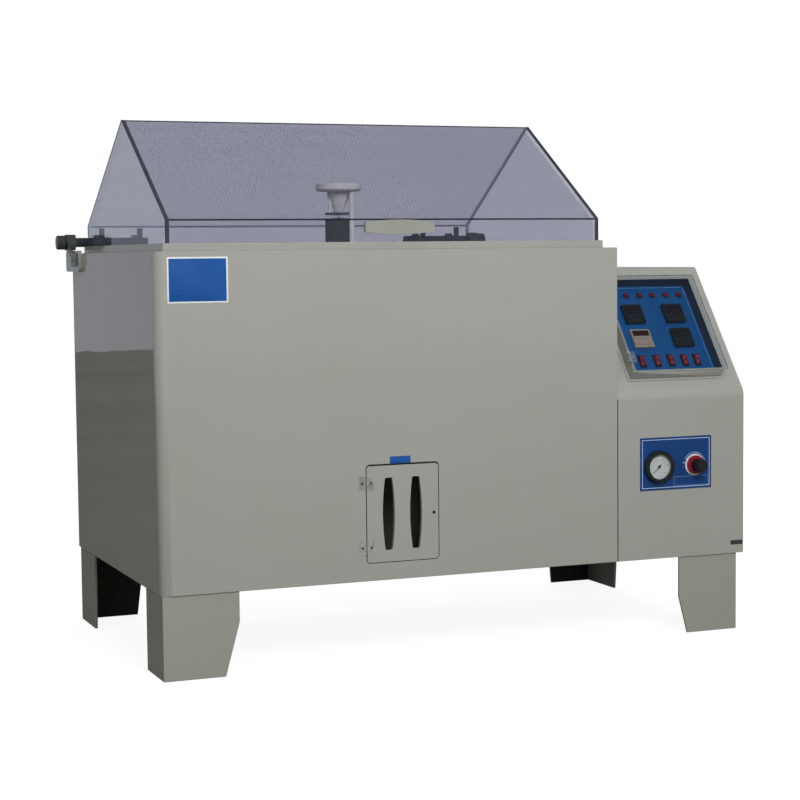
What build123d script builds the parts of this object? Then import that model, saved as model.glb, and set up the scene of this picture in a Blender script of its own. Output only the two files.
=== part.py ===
from build123d import *
import math
import os

# A salt-fog test chamber: a welded board tank on four folded legs, a tinted roof-shaped canopy that stands
# in a water-sealed trough, and a console with a sloping control panel. All lengths are millimetres.
# Zero is the middle of the footprint on the floor, +X runs to the right, +Y to the back and +Z up.

# Tank casing
TANK_W = 1000
TANK_D = 731
BODY_H = 669
WALL = 8
CORNER_R = 22

# Console
CONSOLE_W = 312
CONSOLE_D = 705
CONSOLE_FRONT_H = 355
CONSOLE_TOP_H = 624
SLOPE_RUN = 205
CONSOLE_T = 5
CONSOLE_BEND_R = 30
CONSOLE_TOP_R = 12
CONSOLE_EDGE_R = 3

# Legs
LEG_H = 168
LEG_T = 6
LEG_INSET = 3
LEG_FLANGE = 70
RIGHT_LEG_INSET_FRONT = 17
RIGHT_LEG_INSET_REAR = 13

# Each leg: its front plate's width at the top and at the foot, the drop to where the taper starts,
# and its side plate's width at the top and at the foot
FRONT_LEFT_LEG = (156, 126, 60, 128, 128)
FRONT_RIGHT_LEG = (143, 122, 87, 128, 128)
REAR_LEFT_LEG = (143, 129, 60, 136, 132)
REAR_RIGHT_LEG = (119, 110, 60, 150, 140)

# Trough and liner, measured in from the outer faces of the casing
LIP_INSET = 22.6
LIP_T = 5
LIP_RISE = 15.5
TROUGH_DEPTH = 22
LINER_INSET = 54
LINER_T = 6
LINER_RISE = 3
LINER_FLOOR_Z = 250
LINER_FLOOR_T = 8

# Canopy
CANOPY_INSET = 30
CANOPY_T = 8
CANOPY_SEAT = 0.3
CANOPY_EAVE_RISE = 61
CANOPY_ROOF_H = 214

# Canopy handle
HANDLE_OFF_MIDDLE = 11
HANDLE_DROP = 16
HANDLE_W = 150
HANDLE_H = 29.4
HANDLE_END_H = 20
HANDLE_T = 8
HANDLE_STANDOFF = 13
HANDLE_POST_R = 6
HANDLE_POST_PITCH = 96

# Canopy hinge
HINGE_BEHIND = 19
HINGE_RISE = 25
ROD_R = 10.5
ROD_INNER_END = 179
ROD_BORE_GAP = 0.06
CAP_R = 16
CAP_L = 19
CAP_EDGE_R = 3
CLIP_XS = (62, 150)
CLIP_W = 12
CLIP_R = 16.5
CLIP_FLANGE_T = 4
CLIP_FLANGE_H = 38
CLIP_FLANGE_BELOW = 7
CLIP_ARM_H = 12
BLOCK_T = 8
BLOCK_L = 131
BLOCK_H = 47
BLOCK_BEHIND = 13
BLOCK_RISE = 6
BLOCK_R = 10
BRACKET_T = 4
BRACKET_R = 18
BRACKET_BOSS_L = 22
BRACKET_FOOT_L = 50
BRACKET_FOOT_H = 30
BRACKET_FOOT_AHEAD = 83
BRACKET_FOOT_BELOW = 39
BRACKET_ARM_H = 16
CAP_GAP = 0.6

# Access door for the measuring cylinders
DOOR_X = (428.5, 585)
DOOR_Z = (37.3, 233.6)
DOOR_T = 8
DOOR_R = 7
DOOR_GAP = 1.5
DOOR_GAP_TOP = 3
SLOT_XS = (476, 535.6)
SLOT_Z = (61, 208.7)
SLOT_MID_W = 26.3
SLOT_END_W = 15.3
SLOT_CORNER_R = 2.5

# Small two-leaf hinges, used on the door and on the panel cover
LEAF_T = 2.4
LEAF_W = 11.5
LEAF_H = 28
KNUCKLE_R = 3.2
PIN_R = 1.5
PIN_GAP = 0.06
KNUCKLE_GAP = 0.3
KNUCKLE_STANDOFF = 3.7
DOOR_HINGE_ZS = (200.2, 69.3)

# Door lock
LOCK_X = 575
LOCK_Z = 132.6
LOCK_R = 3
LOCK_BORE_GAP = 0.08
LOCK_FACE_RISE = 0.6
CAM_T = 2
CAM_W = 7
CAM_L = 18
CAM_GAP = 0.4

# Niche behind the door and what stands in it
NICHE_T = 3
NICHE_SIDE = 12
NICHE_LEVEL = 4
NICHE_D = 140
CYLINDER_Y = 72
CYLINDER_R = 14
CYLINDER_WALL = 1.6
CYLINDER_H = 176
CYLINDER_FLOOR_T = 4
CYLINDER_BASE_R = 24
CYLINDER_BASE_H = 6

# Fog collectors
FUNNEL_XS = (392, 620)
FUNNEL_Y = 125
FUNNEL_DROP = 82
FUNNEL_R = 50
FUNNEL_RIM_H = 12
FUNNEL_CONE_H = 48
FUNNEL_WALL = 2
TUBE_R = 4
TUBE_BEND_R = 14
TUBE_RUN_RISE = 27
TUBE_DIP = 20

# Spray tower
TOWER_OFF_MIDDLE = 10
TOWER_R = 30
TOWER_WALL = 3
TOWER_RISE = 70
TOWER_TOP_T = 5
TOWER_FOOT_R = 48
TOWER_FOOT_H = 8
NOZZLE_R = 7
NOZZLE_TIP_R = 2.5
NOZZLE_FLANGE_R = 11
NOZZLE_FLANGE_T = 2
NOZZLE_DOWN = 45
NOZZLE_TIP_H = 3
CAP_BRIM_R = 49.5
CAP_BRIM_H = 15.7
CAP_BRIM_RISE = 59
CAP_BRIM_EDGE = 4
CAP_CONE_TOP_R = 25.5
CAP_CONE_H = 38
CAP_CONE_RISE = 13
CAP_NECK_R = 9
CAP_NECK_BELOW = 1
DISC_R = 30
DISC_RISE = 7.5
DISC_T = 5
POST_R = 5.5
POST_DX = 18.5
POST_GAP = 0.4
POST_DROP = 219
STRUT_R = 3.5
STRUT_OUT = 21
GUIDE_DROPS = (179, 89)
GUIDE_H = 16
GUIDE_WALL = 4

# Heater and sample rack
HEATER_R = 6
HEATER_RISE = 34
HEATER_LOOP_W = 330
HEATER_END_GAP = 90
HEATER_BEND_R = 60
RAIL_T = 10
RAIL_H = 36
RAIL_END_GAP = 35.5
RAIL_DROP = 67
BAR_R = 6
BAR_SIDE_COUNT = 3
BAR_FROM_END = 50
BAR_FROM_MIDDLE = 82

# Control panel on the slope: X runs from the tank's side and Y up the slope
FRAME_X = (42.3, 264.8)
FRAME_Y = (39.5, 290)
FRAME_H = 28
FRAME_T = 5
FOOT_W = 5
FOOT_T = 2
PANEL_T = 2
PANEL_GAP = 0.3
PANEL_HOLE_MARGIN = 14
LAMP_Y = 259
LAMP_X0 = 72
LAMP_PITCH = 33.2
LAMP_COUNT = 6
LAMP_R = 6
LAMP_RISE = 5
LAMP_BODY_R = 4.5
LAMP_BODY_L = 24
DIN = 48
DIN_BODY = 44.8
DIN_RISE = 9
DIN_BODY_L = 60
DIN_EDGE_R = 2
DIN_CHAMFER = 0.8
DIN_WINDOW = (40, 20)
DIN_WINDOW_Y = 8
DIN_WINDOW_DEPTH = 0.8
CONTROLLER_AT = ((104, 206), (205, 206), (204, 141))
TIMER_AT = (104.7, 141.5)
TIMER_RISE = 6
TIMER_WINDOW = (40, 14)
TIMER_WINDOW_Y = 13
TIMER_WINDOW_DEPTH = 1.2
KEY_COUNT = 5
KEY_PITCH = 8
KEY_W = 6
KEY_L = 14
KEY_Y = -9
KEY_GAP = 0.35
KEY_END_GAP = 0.6
KEY_PIVOT_DROP = 2.2
KEY_PIN_R = 0.8
KEY_PIN_L = 0.5
KEY_PROUD = 0.6
KEY_DISH = 0.8
KEY_BELLY = 1.2
KEY_WELL = 4.6
HOLE_FIT = 0.3
ROCKER_XS = (86, 123, 157.5, 191, 222)
ROCKER_Y = 83.5
BEZEL_W = 15
BEZEL_L = 31
BEZEL_T = 2.5
BEZEL_R = 1.5
BEZEL_BODY_W = 12.6
BEZEL_BODY_L = 27
BEZEL_BODY_D = 20
ROCKER_W = 10.4
ROCKER_L = 23.6
ROCKER_GAP = 0.3
ROCKER_END_GAP = 0.9
ROCKER_WELL = 7
ROCKER_DISH = 1.8
ROCKER_PROUD = 3.1
ROCKER_PIVOT_DROP = 1.3
ROCKER_PIN_R = 1
ROCKER_PIN_L = 1.2
ROCKER_BELLY = 2.4
ROCKER_TILT = 8.5
PIN_HOLE_GAP = 0.06
PIN_HOLE_END = 0.1

# Panel cover
COVER_T = 3
COVER_LIFT = 0.3
COVER_OVER_RIGHT = 8
COVER_OVER_TOP = 4
COVER_HINGE_YS = (76, 265)
COVER_EDGE_GAP = 0.6
COVER_R = 3

# Gauge and regulator on the front of the console, with X from the tank's side
PLATE_X = (54, 228.5)
PLATE_Z = (148.7, 262)
PLATE_T = 1.5
GAUGE_X = 98.5
GAUGE_Z = 199.4
GAUGE_BEZEL_R = 35
GAUGE_BEZEL_H = 10
GAUGE_BEZEL_EDGE = 2.5
GAUGE_FIT = 0.05
GAUGE_CASE_R = 30
GAUGE_CASE_D = 32
GAUGE_EYE_R = 27
GAUGE_DIAL_DEPTH = 8.5
GAUGE_DIAL_T = 0.8
GAUGE_LENS_T = 2
GAUGE_LENS_DROP = 1.2
NEEDLE_T = 0.8
NEEDLE_LIFT = 0.7
NEEDLE_L = 20
NEEDLE_TAIL = 6
NEEDLE_HUB_R = 2.6
NEEDLE_PIN_R = 0.9
NEEDLE_PIN_GAP = 0.05
NEEDLE_ANGLE = 225
REG_X = 186.6
REG_Z = 200
REG_WASHER_R = 23.2
REG_WASHER_T = 1.5
REG_COLLAR_R = 20
REG_COLLAR_H = 8
REG_NECK_R = 8
REG_NECK_H = 17
REG_BODY_R = 15
REG_BODY_D = 60
KNOB_R = 13.5
KNOB_GAP = 0.4
KNOB_L = 25
KNOB_BORE_GAP = 0.06
KNOB_FLUTES = 20
KNOB_FLUTE_R = 1.1
KNOB_EDGE = 1.2

# Inside the console and on the back; the barrel's and the air inlet's X run from the tank's side
BARREL_R = 75
BARREL_H = 420
BARREL_X = 200
BARREL_Y = 520
BARREL_DOME = 18
DRAIN_R = 16
DRAIN_X = (300, 420)
DRAIN_Z = 90
EXHAUST_R = 25
EXHAUST_X = 700
EXHAUST_DROP = 109
AIR_R = 6
AIR_X = 180
AIR_Z = 120
SPIGOT_L = 30
SPIGOT_WALL = 3
SPIGOT_FLANGE = 8
SPIGOT_FLANGE_T = 4

# Places that follow from the sizes above
KNOB_FRONT = PLATE_T + REG_WASHER_T + REG_COLLAR_H + KNOB_GAP + KNOB_L
HINGE_Y = TANK_D + HINGE_BEHIND
HINGE_Z = BODY_H + HINGE_RISE
CANOPY_EAVE_Z = BODY_H + CANOPY_EAVE_RISE
CANOPY_RIDGE_Z = CANOPY_EAVE_Z + CANOPY_ROOF_H
RIDGE_Y = TANK_D / 2
TOWER_X = TANK_W / 2 + TOWER_OFF_MIDDLE
TOWER_TOP_Z = BODY_H + TOWER_RISE
RAIL_TOP_Z = BODY_H - RAIL_DROP
CAP_OUT = BLOCK_T + BRACKET_T + CAP_GAP + CAP_L
FOOTPRINT_X = (-CAP_OUT, TANK_W + CONSOLE_W)
FOOTPRINT_Y = (-KNOB_FRONT, HINGE_Y + BRACKET_R)
TANK_X = -sum(FOOTPRINT_X) / 2
TANK_Y = -sum(FOOTPRINT_Y) / 2
ORIGIN = (TANK_X, TANK_Y, LEG_H)
TOP = Plane(origin=ORIGIN)
FRONT = Plane(origin=ORIGIN, x_dir=(1, 0, 0), z_dir=(0, -1, 0))
CONSOLE_FRONT = Plane(origin=(TANK_X + TANK_W, TANK_Y, LEG_H), x_dir=(1, 0, 0), z_dir=(0, -1, 0))
SIDE = Plane(origin=ORIGIN, x_dir=(0, 1, 0), z_dir=(1, 0, 0))
MIDDLE = SIDE.offset(TANK_W / 2)
SLOPE_RISE = CONSOLE_TOP_H - CONSOLE_FRONT_H
SLOPE_L = math.hypot(SLOPE_RUN, SLOPE_RISE)
SLOPE_SIN = SLOPE_RISE / SLOPE_L
SLOPE_COS = SLOPE_RUN / SLOPE_L
SLOPE = Plane(
    origin=(TANK_X + TANK_W, TANK_Y, LEG_H + CONSOLE_FRONT_H),
    x_dir=(1, 0, 0),
    z_dir=(0, -SLOPE_SIN, SLOPE_COS),
)
SLOPE_AXIS = Axis(SLOPE.origin, SLOPE.z_dir)

os.makedirs("parts", exist_ok=True)
nodes = {}


def spun(plane, degrees):
    """The same plane, turned about its own normal."""
    x_dir = plane.x_dir.rotate(Axis((0, 0, 0), plane.z_dir), degrees)
    return Plane(origin=plane.origin, x_dir=x_dir, z_dir=plane.z_dir)


def keep(shape, name):
    """Label a finished piece and write its STEP file."""
    shape.label = name
    nodes[name] = shape
    export_step(shape, f"parts/{name}.step")


def keep_all(shapes, name):
    """Write several boards that touch but aren't one piece of material as one node."""
    keep(Compound(label=name, children=[shape.solid() for shape in shapes]), name)


def board(plane, xs, ys, thickness):
    """A flat board between two corners of a plane, as a part of its own."""
    with BuildPart() as piece:
        with BuildSketch(plane):
            with Locations(((xs[0] + xs[1]) / 2, (ys[0] + ys[1]) / 2)):
                Rectangle(xs[1] - xs[0], ys[1] - ys[0])
        extrude(amount=thickness)
    return piece.part


def ring_of_boards(plane, xs, ys, width, height):
    """Four boards just inside a rectangle of a plane, with butted corners."""
    inner_ys = (ys[0] + width, ys[1] - width)
    return [
        board(plane, xs, (ys[0], inner_ys[0]), height),
        board(plane, xs, (inner_ys[1], ys[1]), height),
        board(plane, (xs[0], xs[0] + width), inner_ys, height),
        board(plane, (xs[1] - width, xs[1]), inner_ys, height),
    ]


def tank_ring(inset, width, low, high):
    """Four boards round the tank, a distance in from its outer faces, from one height to another."""
    xs = (inset, TANK_W - inset)
    ys = (inset, TANK_D - inset)
    return ring_of_boards(TOP.offset(low), xs, ys, width, high - low)


def flat_piece(plane, points, thickness):
    """A sheet with a straight-sided outline on a plane."""
    with BuildPart() as piece:
        with BuildSketch(plane):
            with BuildLine():
                Polyline(*points, close=True)
            make_face()
        extrude(amount=thickness)
    return piece.part


def barrel_face(plane, width, height, mid, centre):
    """A face with flat ends and bowed long sides; the bow runs along the plane's y."""
    cx, cy = centre
    with BuildSketch(plane) as face:
        with BuildLine():
            right = ThreePointArc(
                (cx + width / 2, cy - height / 2), (cx + mid / 2, cy), (cx + width / 2, cy + height / 2)
            )
            Line(right @ 1, (cx - width / 2, cy + height / 2))
            left = ThreePointArc(
                (cx - width / 2, cy + height / 2), (cx - mid / 2, cy), (cx - width / 2, cy - height / 2)
            )
            Line(left @ 1, right @ 0)
        make_face()
        fillet(face.vertices(), SLOT_CORNER_R)
    return face.sketch


# Casing
DOOR_MID_X = sum(DOOR_X) / 2
OPENING_X = (DOOR_X[0] - DOOR_GAP, DOOR_X[1] + DOOR_GAP)
OPENING_Z = (DOOR_Z[0] - DOOR_GAP, DOOR_Z[1] + DOOR_GAP_TOP)

with BuildPart() as front_panel:
    with BuildSketch(TOP):
        with BuildLine():
            Line((TANK_W, 0), (CORNER_R, 0))
            CenterArc((CORNER_R, CORNER_R), CORNER_R, 180, 90)
            Line((0, CORNER_R), (WALL, CORNER_R))
            Line((WALL, CORNER_R), (WALL, WALL))
            Line((WALL, WALL), (TANK_W, WALL))
            Line((TANK_W, WALL), (TANK_W, 0))
        make_face()
    extrude(amount=BODY_H)
    with BuildSketch(FRONT):
        with Locations((DOOR_MID_X, sum(OPENING_Z) / 2)):
            RectangleRounded(OPENING_X[1] - OPENING_X[0], OPENING_Z[1] - OPENING_Z[0], DOOR_R + DOOR_GAP)
    extrude(amount=-WALL, mode=Mode.SUBTRACT)
keep(front_panel.part, "front_panel")

left_side = board(SIDE, (CORNER_R, TANK_D - WALL), (0, BODY_H), WALL)
right_side = board(SIDE.offset(TANK_W - WALL), (WALL, TANK_D - WALL), (0, BODY_H), WALL)
keep_all([left_side, right_side], "side_panels")

DRAINS = [(x, DRAIN_Z, DRAIN_R) for x in DRAIN_X]
TANK_PORTS = DRAINS + [(EXHAUST_X, BODY_H - EXHAUST_DROP, EXHAUST_R)]

with BuildPart() as back_panel:
    with BuildSketch(FRONT.offset(-TANK_D)):
        with Locations((TANK_W / 2, BODY_H / 2)):
            Rectangle(TANK_W, BODY_H)
        for x, z, r in TANK_PORTS:
            with Locations((x, z)):
                Circle(r - SPIGOT_WALL, mode=Mode.SUBTRACT)
    extrude(amount=WALL)
keep(back_panel.part, "back_panel")

keep(board(TOP, (WALL, TANK_W - WALL), (WALL, TANK_D - WALL), WALL), "base_panel")

# Water trough round the top, welded from strips
TROUGH_FLOOR_Z = BODY_H - TROUGH_DEPTH
ledge = tank_ring(WALL, LIP_INSET - WALL, BODY_H - WALL, BODY_H)
lip = tank_ring(LIP_INSET, LIP_T, TROUGH_FLOOR_Z - WALL, BODY_H + LIP_RISE)
trough_floor = tank_ring(
    LIP_INSET + LIP_T, LINER_INSET - LIP_INSET - LIP_T, TROUGH_FLOOR_Z - WALL, TROUGH_FLOOR_Z
)
keep_all(ledge + lip + trough_floor, "seal_trough")

# Inner tank of five boards; its walls also close the inner side of the trough
LINER_TOP_Z = BODY_H + LINER_RISE
LINER_IN = LINER_INSET + LINER_T
FLOOR_Z = LINER_FLOOR_Z + LINER_FLOOR_T
liner_walls = tank_ring(LINER_INSET, LINER_T, LINER_FLOOR_Z, LINER_TOP_Z)

with BuildPart() as liner_floor:
    with BuildSketch(TOP.offset(LINER_FLOOR_Z)):
        with Locations((TANK_W / 2, TANK_D / 2)):
            Rectangle(TANK_W - 2 * LINER_IN, TANK_D - 2 * LINER_IN)
        for x in SLOT_XS:
            with Locations((x, CYLINDER_Y)):
                Circle(TUBE_R + HOLE_FIT, mode=Mode.SUBTRACT)
    extrude(amount=LINER_FLOOR_T)
keep_all(liner_walls + [liner_floor.part], "tank_liner")


# Legs
def leg_plate(plane, corner, sense, top_w, foot_w, taper_from):
    """One plate of a folded leg: full width at the top, tapered on its free edge towards the floor."""
    points = (
        (corner, 0),
        (corner + sense * top_w, 0),
        (corner + sense * top_w, -taper_from),
        (corner + sense * foot_w, -LEG_H),
        (corner, -LEG_H),
    )
    with BuildSketch(plane) as plate:
        with BuildLine():
            Polyline(*points, close=True)
        make_face()
    return plate.sketch


def leg(corner_x, corner_y, x_sense, y_sense, top_w, foot_w, taper_from, side_w, side_foot_w):
    """An L-shaped leg whose corner stands at the given place, with a bolting flange under the base."""
    with BuildPart() as piece:
        face_plate = leg_plate(FRONT.offset(-corner_y), corner_x, x_sense, top_w, foot_w, taper_from)
        extrude(face_plate, amount=-y_sense * LEG_T)
        side_plate = leg_plate(SIDE.offset(corner_x), corner_y, y_sense, side_w, side_foot_w, taper_from)
        extrude(side_plate, amount=x_sense * LEG_T)
        with BuildSketch(TOP):
            with Locations((corner_x + x_sense * LEG_FLANGE / 2, corner_y + y_sense * LEG_FLANGE / 2)):
                Rectangle(LEG_FLANGE, LEG_FLANGE)
        extrude(amount=-LEG_T)
    return piece.part


RIGHT_END = TANK_W + CONSOLE_W
FRONT_LEGS = (
    (LEG_INSET, LEG_INSET, 1, 1, *FRONT_LEFT_LEG),
    (RIGHT_END - RIGHT_LEG_INSET_FRONT, LEG_INSET, -1, 1, *FRONT_RIGHT_LEG),
)
REAR_LEGS = (
    (LEG_INSET, TANK_D - LEG_INSET, 1, -1, *REAR_LEFT_LEG),
    (RIGHT_END - RIGHT_LEG_INSET_REAR, CONSOLE_D - LEG_INSET, -1, -1, *REAR_RIGHT_LEG),
)
keep_all([leg(*values) for values in FRONT_LEGS], "front_legs")
keep_all([leg(*values) for values in REAR_LEGS], "rear_legs")

# Canopy: six tinted sheets glued along mitred edges
CANOPY_Z = TROUGH_FLOOR_Z + CANOPY_SEAT
CANOPY_Y = (CANOPY_INSET, TANK_D - CANOPY_INSET)
CANOPY_X = (CANOPY_INSET, TANK_W - CANOPY_INSET)
PITCH = math.atan2(CANOPY_RIDGE_Z - CANOPY_EAVE_Z, RIDGE_Y - CANOPY_Y[0])
SHEET_DROP = CANOPY_T / math.cos(PITCH)
EAVE_IN_Z = CANOPY_EAVE_Z + CANOPY_T * math.tan(PITCH) - SHEET_DROP
SHEET_L = CANOPY_X[1] - CANOPY_X[0] - 2 * CANOPY_T


def canopy_sheet(points):
    """A sheet between the two end plates, drawn by its section."""
    return flat_piece(SIDE.offset(CANOPY_X[0] + CANOPY_T), points, SHEET_L)


def behind(points):
    """The same section on the rear half of the canopy."""
    return [(2 * RIDGE_Y - y, z) for y, z in points]


wall_section = (
    (CANOPY_Y[0], CANOPY_Z),
    (CANOPY_Y[0], CANOPY_EAVE_Z),
    (CANOPY_Y[0] + CANOPY_T, EAVE_IN_Z),
    (CANOPY_Y[0] + CANOPY_T, CANOPY_Z),
)
slope_section = (
    (CANOPY_Y[0], CANOPY_EAVE_Z),
    (RIDGE_Y, CANOPY_RIDGE_Z),
    (RIDGE_Y, CANOPY_RIDGE_Z - SHEET_DROP),
    (CANOPY_Y[0] + CANOPY_T, EAVE_IN_Z),
)
keep(canopy_sheet(wall_section), "canopy_front_wall")
keep(canopy_sheet(slope_section), "canopy_front_slope")
keep(canopy_sheet(behind(slope_section)), "canopy_rear_slope")
keep(canopy_sheet(behind(wall_section)), "canopy_rear_wall")

with BuildPart() as canopy_ends:
    with BuildSketch(SIDE.offset(CANOPY_X[0])):
        with BuildLine():
            Polyline(
                (CANOPY_Y[0], CANOPY_Z),
                (CANOPY_Y[0], CANOPY_EAVE_Z),
                (RIDGE_Y, CANOPY_RIDGE_Z),
                (CANOPY_Y[1], CANOPY_EAVE_Z),
                (CANOPY_Y[1], CANOPY_Z),
                close=True,
            )
        make_face()
    extrude(amount=CANOPY_T)
    mirror(about=MIDDLE)
keep(canopy_ends.part, "canopy_ends")

HANDLE_X = TANK_W / 2 + HANDLE_OFF_MIDDLE
HANDLE_Y = CANOPY_INSET - HANDLE_STANDOFF
HANDLE_Z = CANOPY_EAVE_Z - HANDLE_DROP

with BuildPart() as canopy_handle:
    with BuildSketch(FRONT.offset(-HANDLE_Y)):
        with BuildLine():
            top_edge = ThreePointArc(
                (HANDLE_X - HANDLE_W / 2, HANDLE_Z + HANDLE_END_H / 2),
                (HANDLE_X, HANDLE_Z + HANDLE_H / 2),
                (HANDLE_X + HANDLE_W / 2, HANDLE_Z + HANDLE_END_H / 2),
            )
            Line(top_edge @ 1, (HANDLE_X + HANDLE_W / 2, HANDLE_Z - HANDLE_END_H / 2))
            low_edge = ThreePointArc(
                (HANDLE_X + HANDLE_W / 2, HANDLE_Z - HANDLE_END_H / 2),
                (HANDLE_X, HANDLE_Z - HANDLE_H / 2),
                (HANDLE_X - HANDLE_W / 2, HANDLE_Z - HANDLE_END_H / 2),
            )
            Line(low_edge @ 1, top_edge @ 0)
        make_face()
    extrude(amount=HANDLE_T)
    with BuildSketch(FRONT.offset(-CANOPY_INSET)):
        with Locations((HANDLE_X, HANDLE_Z)):
            with GridLocations(HANDLE_POST_PITCH, 0, 2, 1):
                Circle(HANDLE_POST_R)
    extrude(amount=HANDLE_STANDOFF)
keep(canopy_handle.part, "canopy_handle")

# Canopy hinge: a rod each side, clipped to the rear sheet and turning in a bracket on the casing
with BuildPart() as hinge_rods:
    with BuildSketch(SIDE.offset(-CAP_OUT)):
        with Locations((HINGE_Y, HINGE_Z)):
            Circle(CAP_R)
    extrude(amount=CAP_L)
    fillet(hinge_rods.edges().filter_by(GeomType.CIRCLE), CAP_EDGE_R)
    with BuildSketch(SIDE.offset(-CAP_OUT + CAP_L)):
        with Locations((HINGE_Y, HINGE_Z)):
            Circle(ROD_R)
    extrude(amount=CAP_OUT - CAP_L + ROD_INNER_END)
    mirror(about=MIDDLE)
keep(hinge_rods.part, "hinge_rods")

clip_flange_z = HINGE_Z - CLIP_FLANGE_BELOW + CLIP_FLANGE_H / 2
with BuildPart() as rod_clips:
    for x in CLIP_XS:
        with BuildSketch(SIDE.offset(x - CLIP_W / 2)):
            with Locations((HINGE_Y, HINGE_Z)):
                Circle(CLIP_R)
            with Locations(((CANOPY_Y[1] + HINGE_Y) / 2, HINGE_Z)):
                Rectangle(HINGE_Y - CANOPY_Y[1], CLIP_ARM_H)
            with Locations((CANOPY_Y[1] + CLIP_FLANGE_T / 2, clip_flange_z)):
                Rectangle(CLIP_FLANGE_T, CLIP_FLANGE_H)
            with Locations((HINGE_Y, HINGE_Z)):
                Circle(ROD_R, mode=Mode.SUBTRACT)
        extrude(amount=CLIP_W)
    mirror(about=MIDDLE)
keep(rod_clips.part, "rod_clips")

block_middle = (HINGE_Y + BLOCK_BEHIND - BLOCK_L / 2, BODY_H + BLOCK_RISE - BLOCK_H / 2)
with BuildPart() as hinge_blocks:
    with BuildSketch(SIDE.offset(-BLOCK_T)):
        with Locations(block_middle):
            RectangleRounded(BLOCK_L, BLOCK_H, BLOCK_R)
    extrude(amount=BLOCK_T)
    mirror(about=MIDDLE)
keep(hinge_blocks.part, "hinge_blocks")

foot_middle = (HINGE_Y - BRACKET_FOOT_AHEAD, HINGE_Z - BRACKET_FOOT_BELOW)
arm_middle = (HINGE_Y - BRACKET_FOOT_AHEAD / 2, HINGE_Z - BRACKET_FOOT_BELOW / 2)
arm_turn = math.degrees(math.atan2(BRACKET_FOOT_BELOW, BRACKET_FOOT_AHEAD))
with BuildPart() as hinge_brackets:
    with BuildSketch(SIDE.offset(-BLOCK_T - BRACKET_T)):
        with Locations((HINGE_Y, HINGE_Z)):
            Circle(BRACKET_R)
        with Locations(Location(arm_middle, arm_turn)):
            Rectangle(math.hypot(BRACKET_FOOT_AHEAD, BRACKET_FOOT_BELOW), BRACKET_ARM_H)
        with Locations(foot_middle):
            Rectangle(BRACKET_FOOT_L, BRACKET_FOOT_H)
    extrude(amount=BRACKET_T)
    with BuildSketch(SIDE.offset(-BLOCK_T - BRACKET_T)):
        with Locations((HINGE_Y, HINGE_Z)):
            Circle(BRACKET_R)
    extrude(amount=BRACKET_BOSS_L)
    with BuildSketch(SIDE.offset(-BLOCK_T - BRACKET_T)):
        with Locations((HINGE_Y, HINGE_Z)):
            Circle(ROD_R + ROD_BORE_GAP)
    extrude(amount=BRACKET_BOSS_L, mode=Mode.SUBTRACT)
    mirror(about=MIDDLE)
keep(hinge_brackets.part, "hinge_brackets")


# Small hinges: leaf plates on two faces, a knuckle between them and a pin fast in the fixed half
LEAF_X = KNUCKLE_STANDOFF + KNUCKLE_GAP
LEAF_MID_X = LEAF_X + LEAF_W / 2
LEAF_MID_Y = LEAF_T / 2 - KNUCKLE_STANDOFF


def fixed_half(section):
    """The half on the casing: it holds the middle knuckle and the pin."""
    with BuildPart() as half:
        with BuildSketch(section):
            with Locations((-LEAF_MID_X, LEAF_MID_Y)):
                Rectangle(LEAF_W, LEAF_T)
        extrude(amount=LEAF_H / 2, both=True)
        with BuildSketch(section):
            Circle(KNUCKLE_R)
            with Locations((-LEAF_X / 2, LEAF_MID_Y)):
                Rectangle(LEAF_X, LEAF_T)
        extrude(amount=(LEAF_H / 3 - KNUCKLE_GAP) / 2, both=True)
        with BuildSketch(section):
            Circle(PIN_R)
        extrude(amount=LEAF_H / 2, both=True)
    return half.part


def moving_half(section):
    """The half on the door or cover: it holds the two outer knuckles, bored to turn on the pin."""
    with BuildPart() as half:
        with BuildSketch(section):
            with Locations((LEAF_MID_X, LEAF_MID_Y)):
                Rectangle(LEAF_W, LEAF_T)
        extrude(amount=LEAF_H / 2, both=True)
        for sense in (-1, 1):
            with BuildSketch(section.offset(sense * (LEAF_H / 3 + KNUCKLE_GAP / 4))):
                Circle(KNUCKLE_R)
                with Locations((LEAF_X / 2, LEAF_MID_Y)):
                    Rectangle(LEAF_X, LEAF_T)
                Circle(PIN_R + PIN_GAP, mode=Mode.SUBTRACT)
            extrude(amount=(LEAF_H / 3 - KNUCKLE_GAP / 2) / 2, both=True)
    return half.part


DOOR_PIN_X = OPENING_X[0] + DOOR_GAP / 2
COVER_TOP_H = FRAME_H + COVER_LIFT + COVER_T
COVER_PIN_X = FRAME_X[0] - KNUCKLE_STANDOFF
COVER_PIN_H = COVER_TOP_H + KNUCKLE_STANDOFF
UP_SLOPE = (0, SLOPE_COS, SLOPE_SIN)
DOWN_SLOPE = (0, -SLOPE_COS, -SLOPE_SIN)


def door_section(z):
    """The section plane of a door hinge at a height."""
    origin = FRONT.from_local_coords((DOOR_PIN_X, z, KNUCKLE_STANDOFF))
    return Plane(origin=origin, x_dir=(1, 0, 0), z_dir=(0, 0, -1))


def cover_section(u):
    """The section plane of a cover hinge at a place up the slope."""
    origin = SLOPE.from_local_coords((COVER_PIN_X, u, COVER_PIN_H))
    return Plane(origin=origin, x_dir=(1, 0, 0), z_dir=DOWN_SLOPE)


door_mounts = [fixed_half(door_section(z)) for z in DOOR_HINGE_ZS]
cover_mounts = [fixed_half(spun(cover_section(u), 90)) for u in COVER_HINGE_YS]
keep_all(door_mounts + cover_mounts, "small_hinge_mounts")
keep_all([moving_half(door_section(z)) for z in DOOR_HINGE_ZS], "door_hinge_leaves")
keep_all([moving_half(cover_section(u)) for u in COVER_HINGE_YS], "cover_hinge_leaves")

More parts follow.
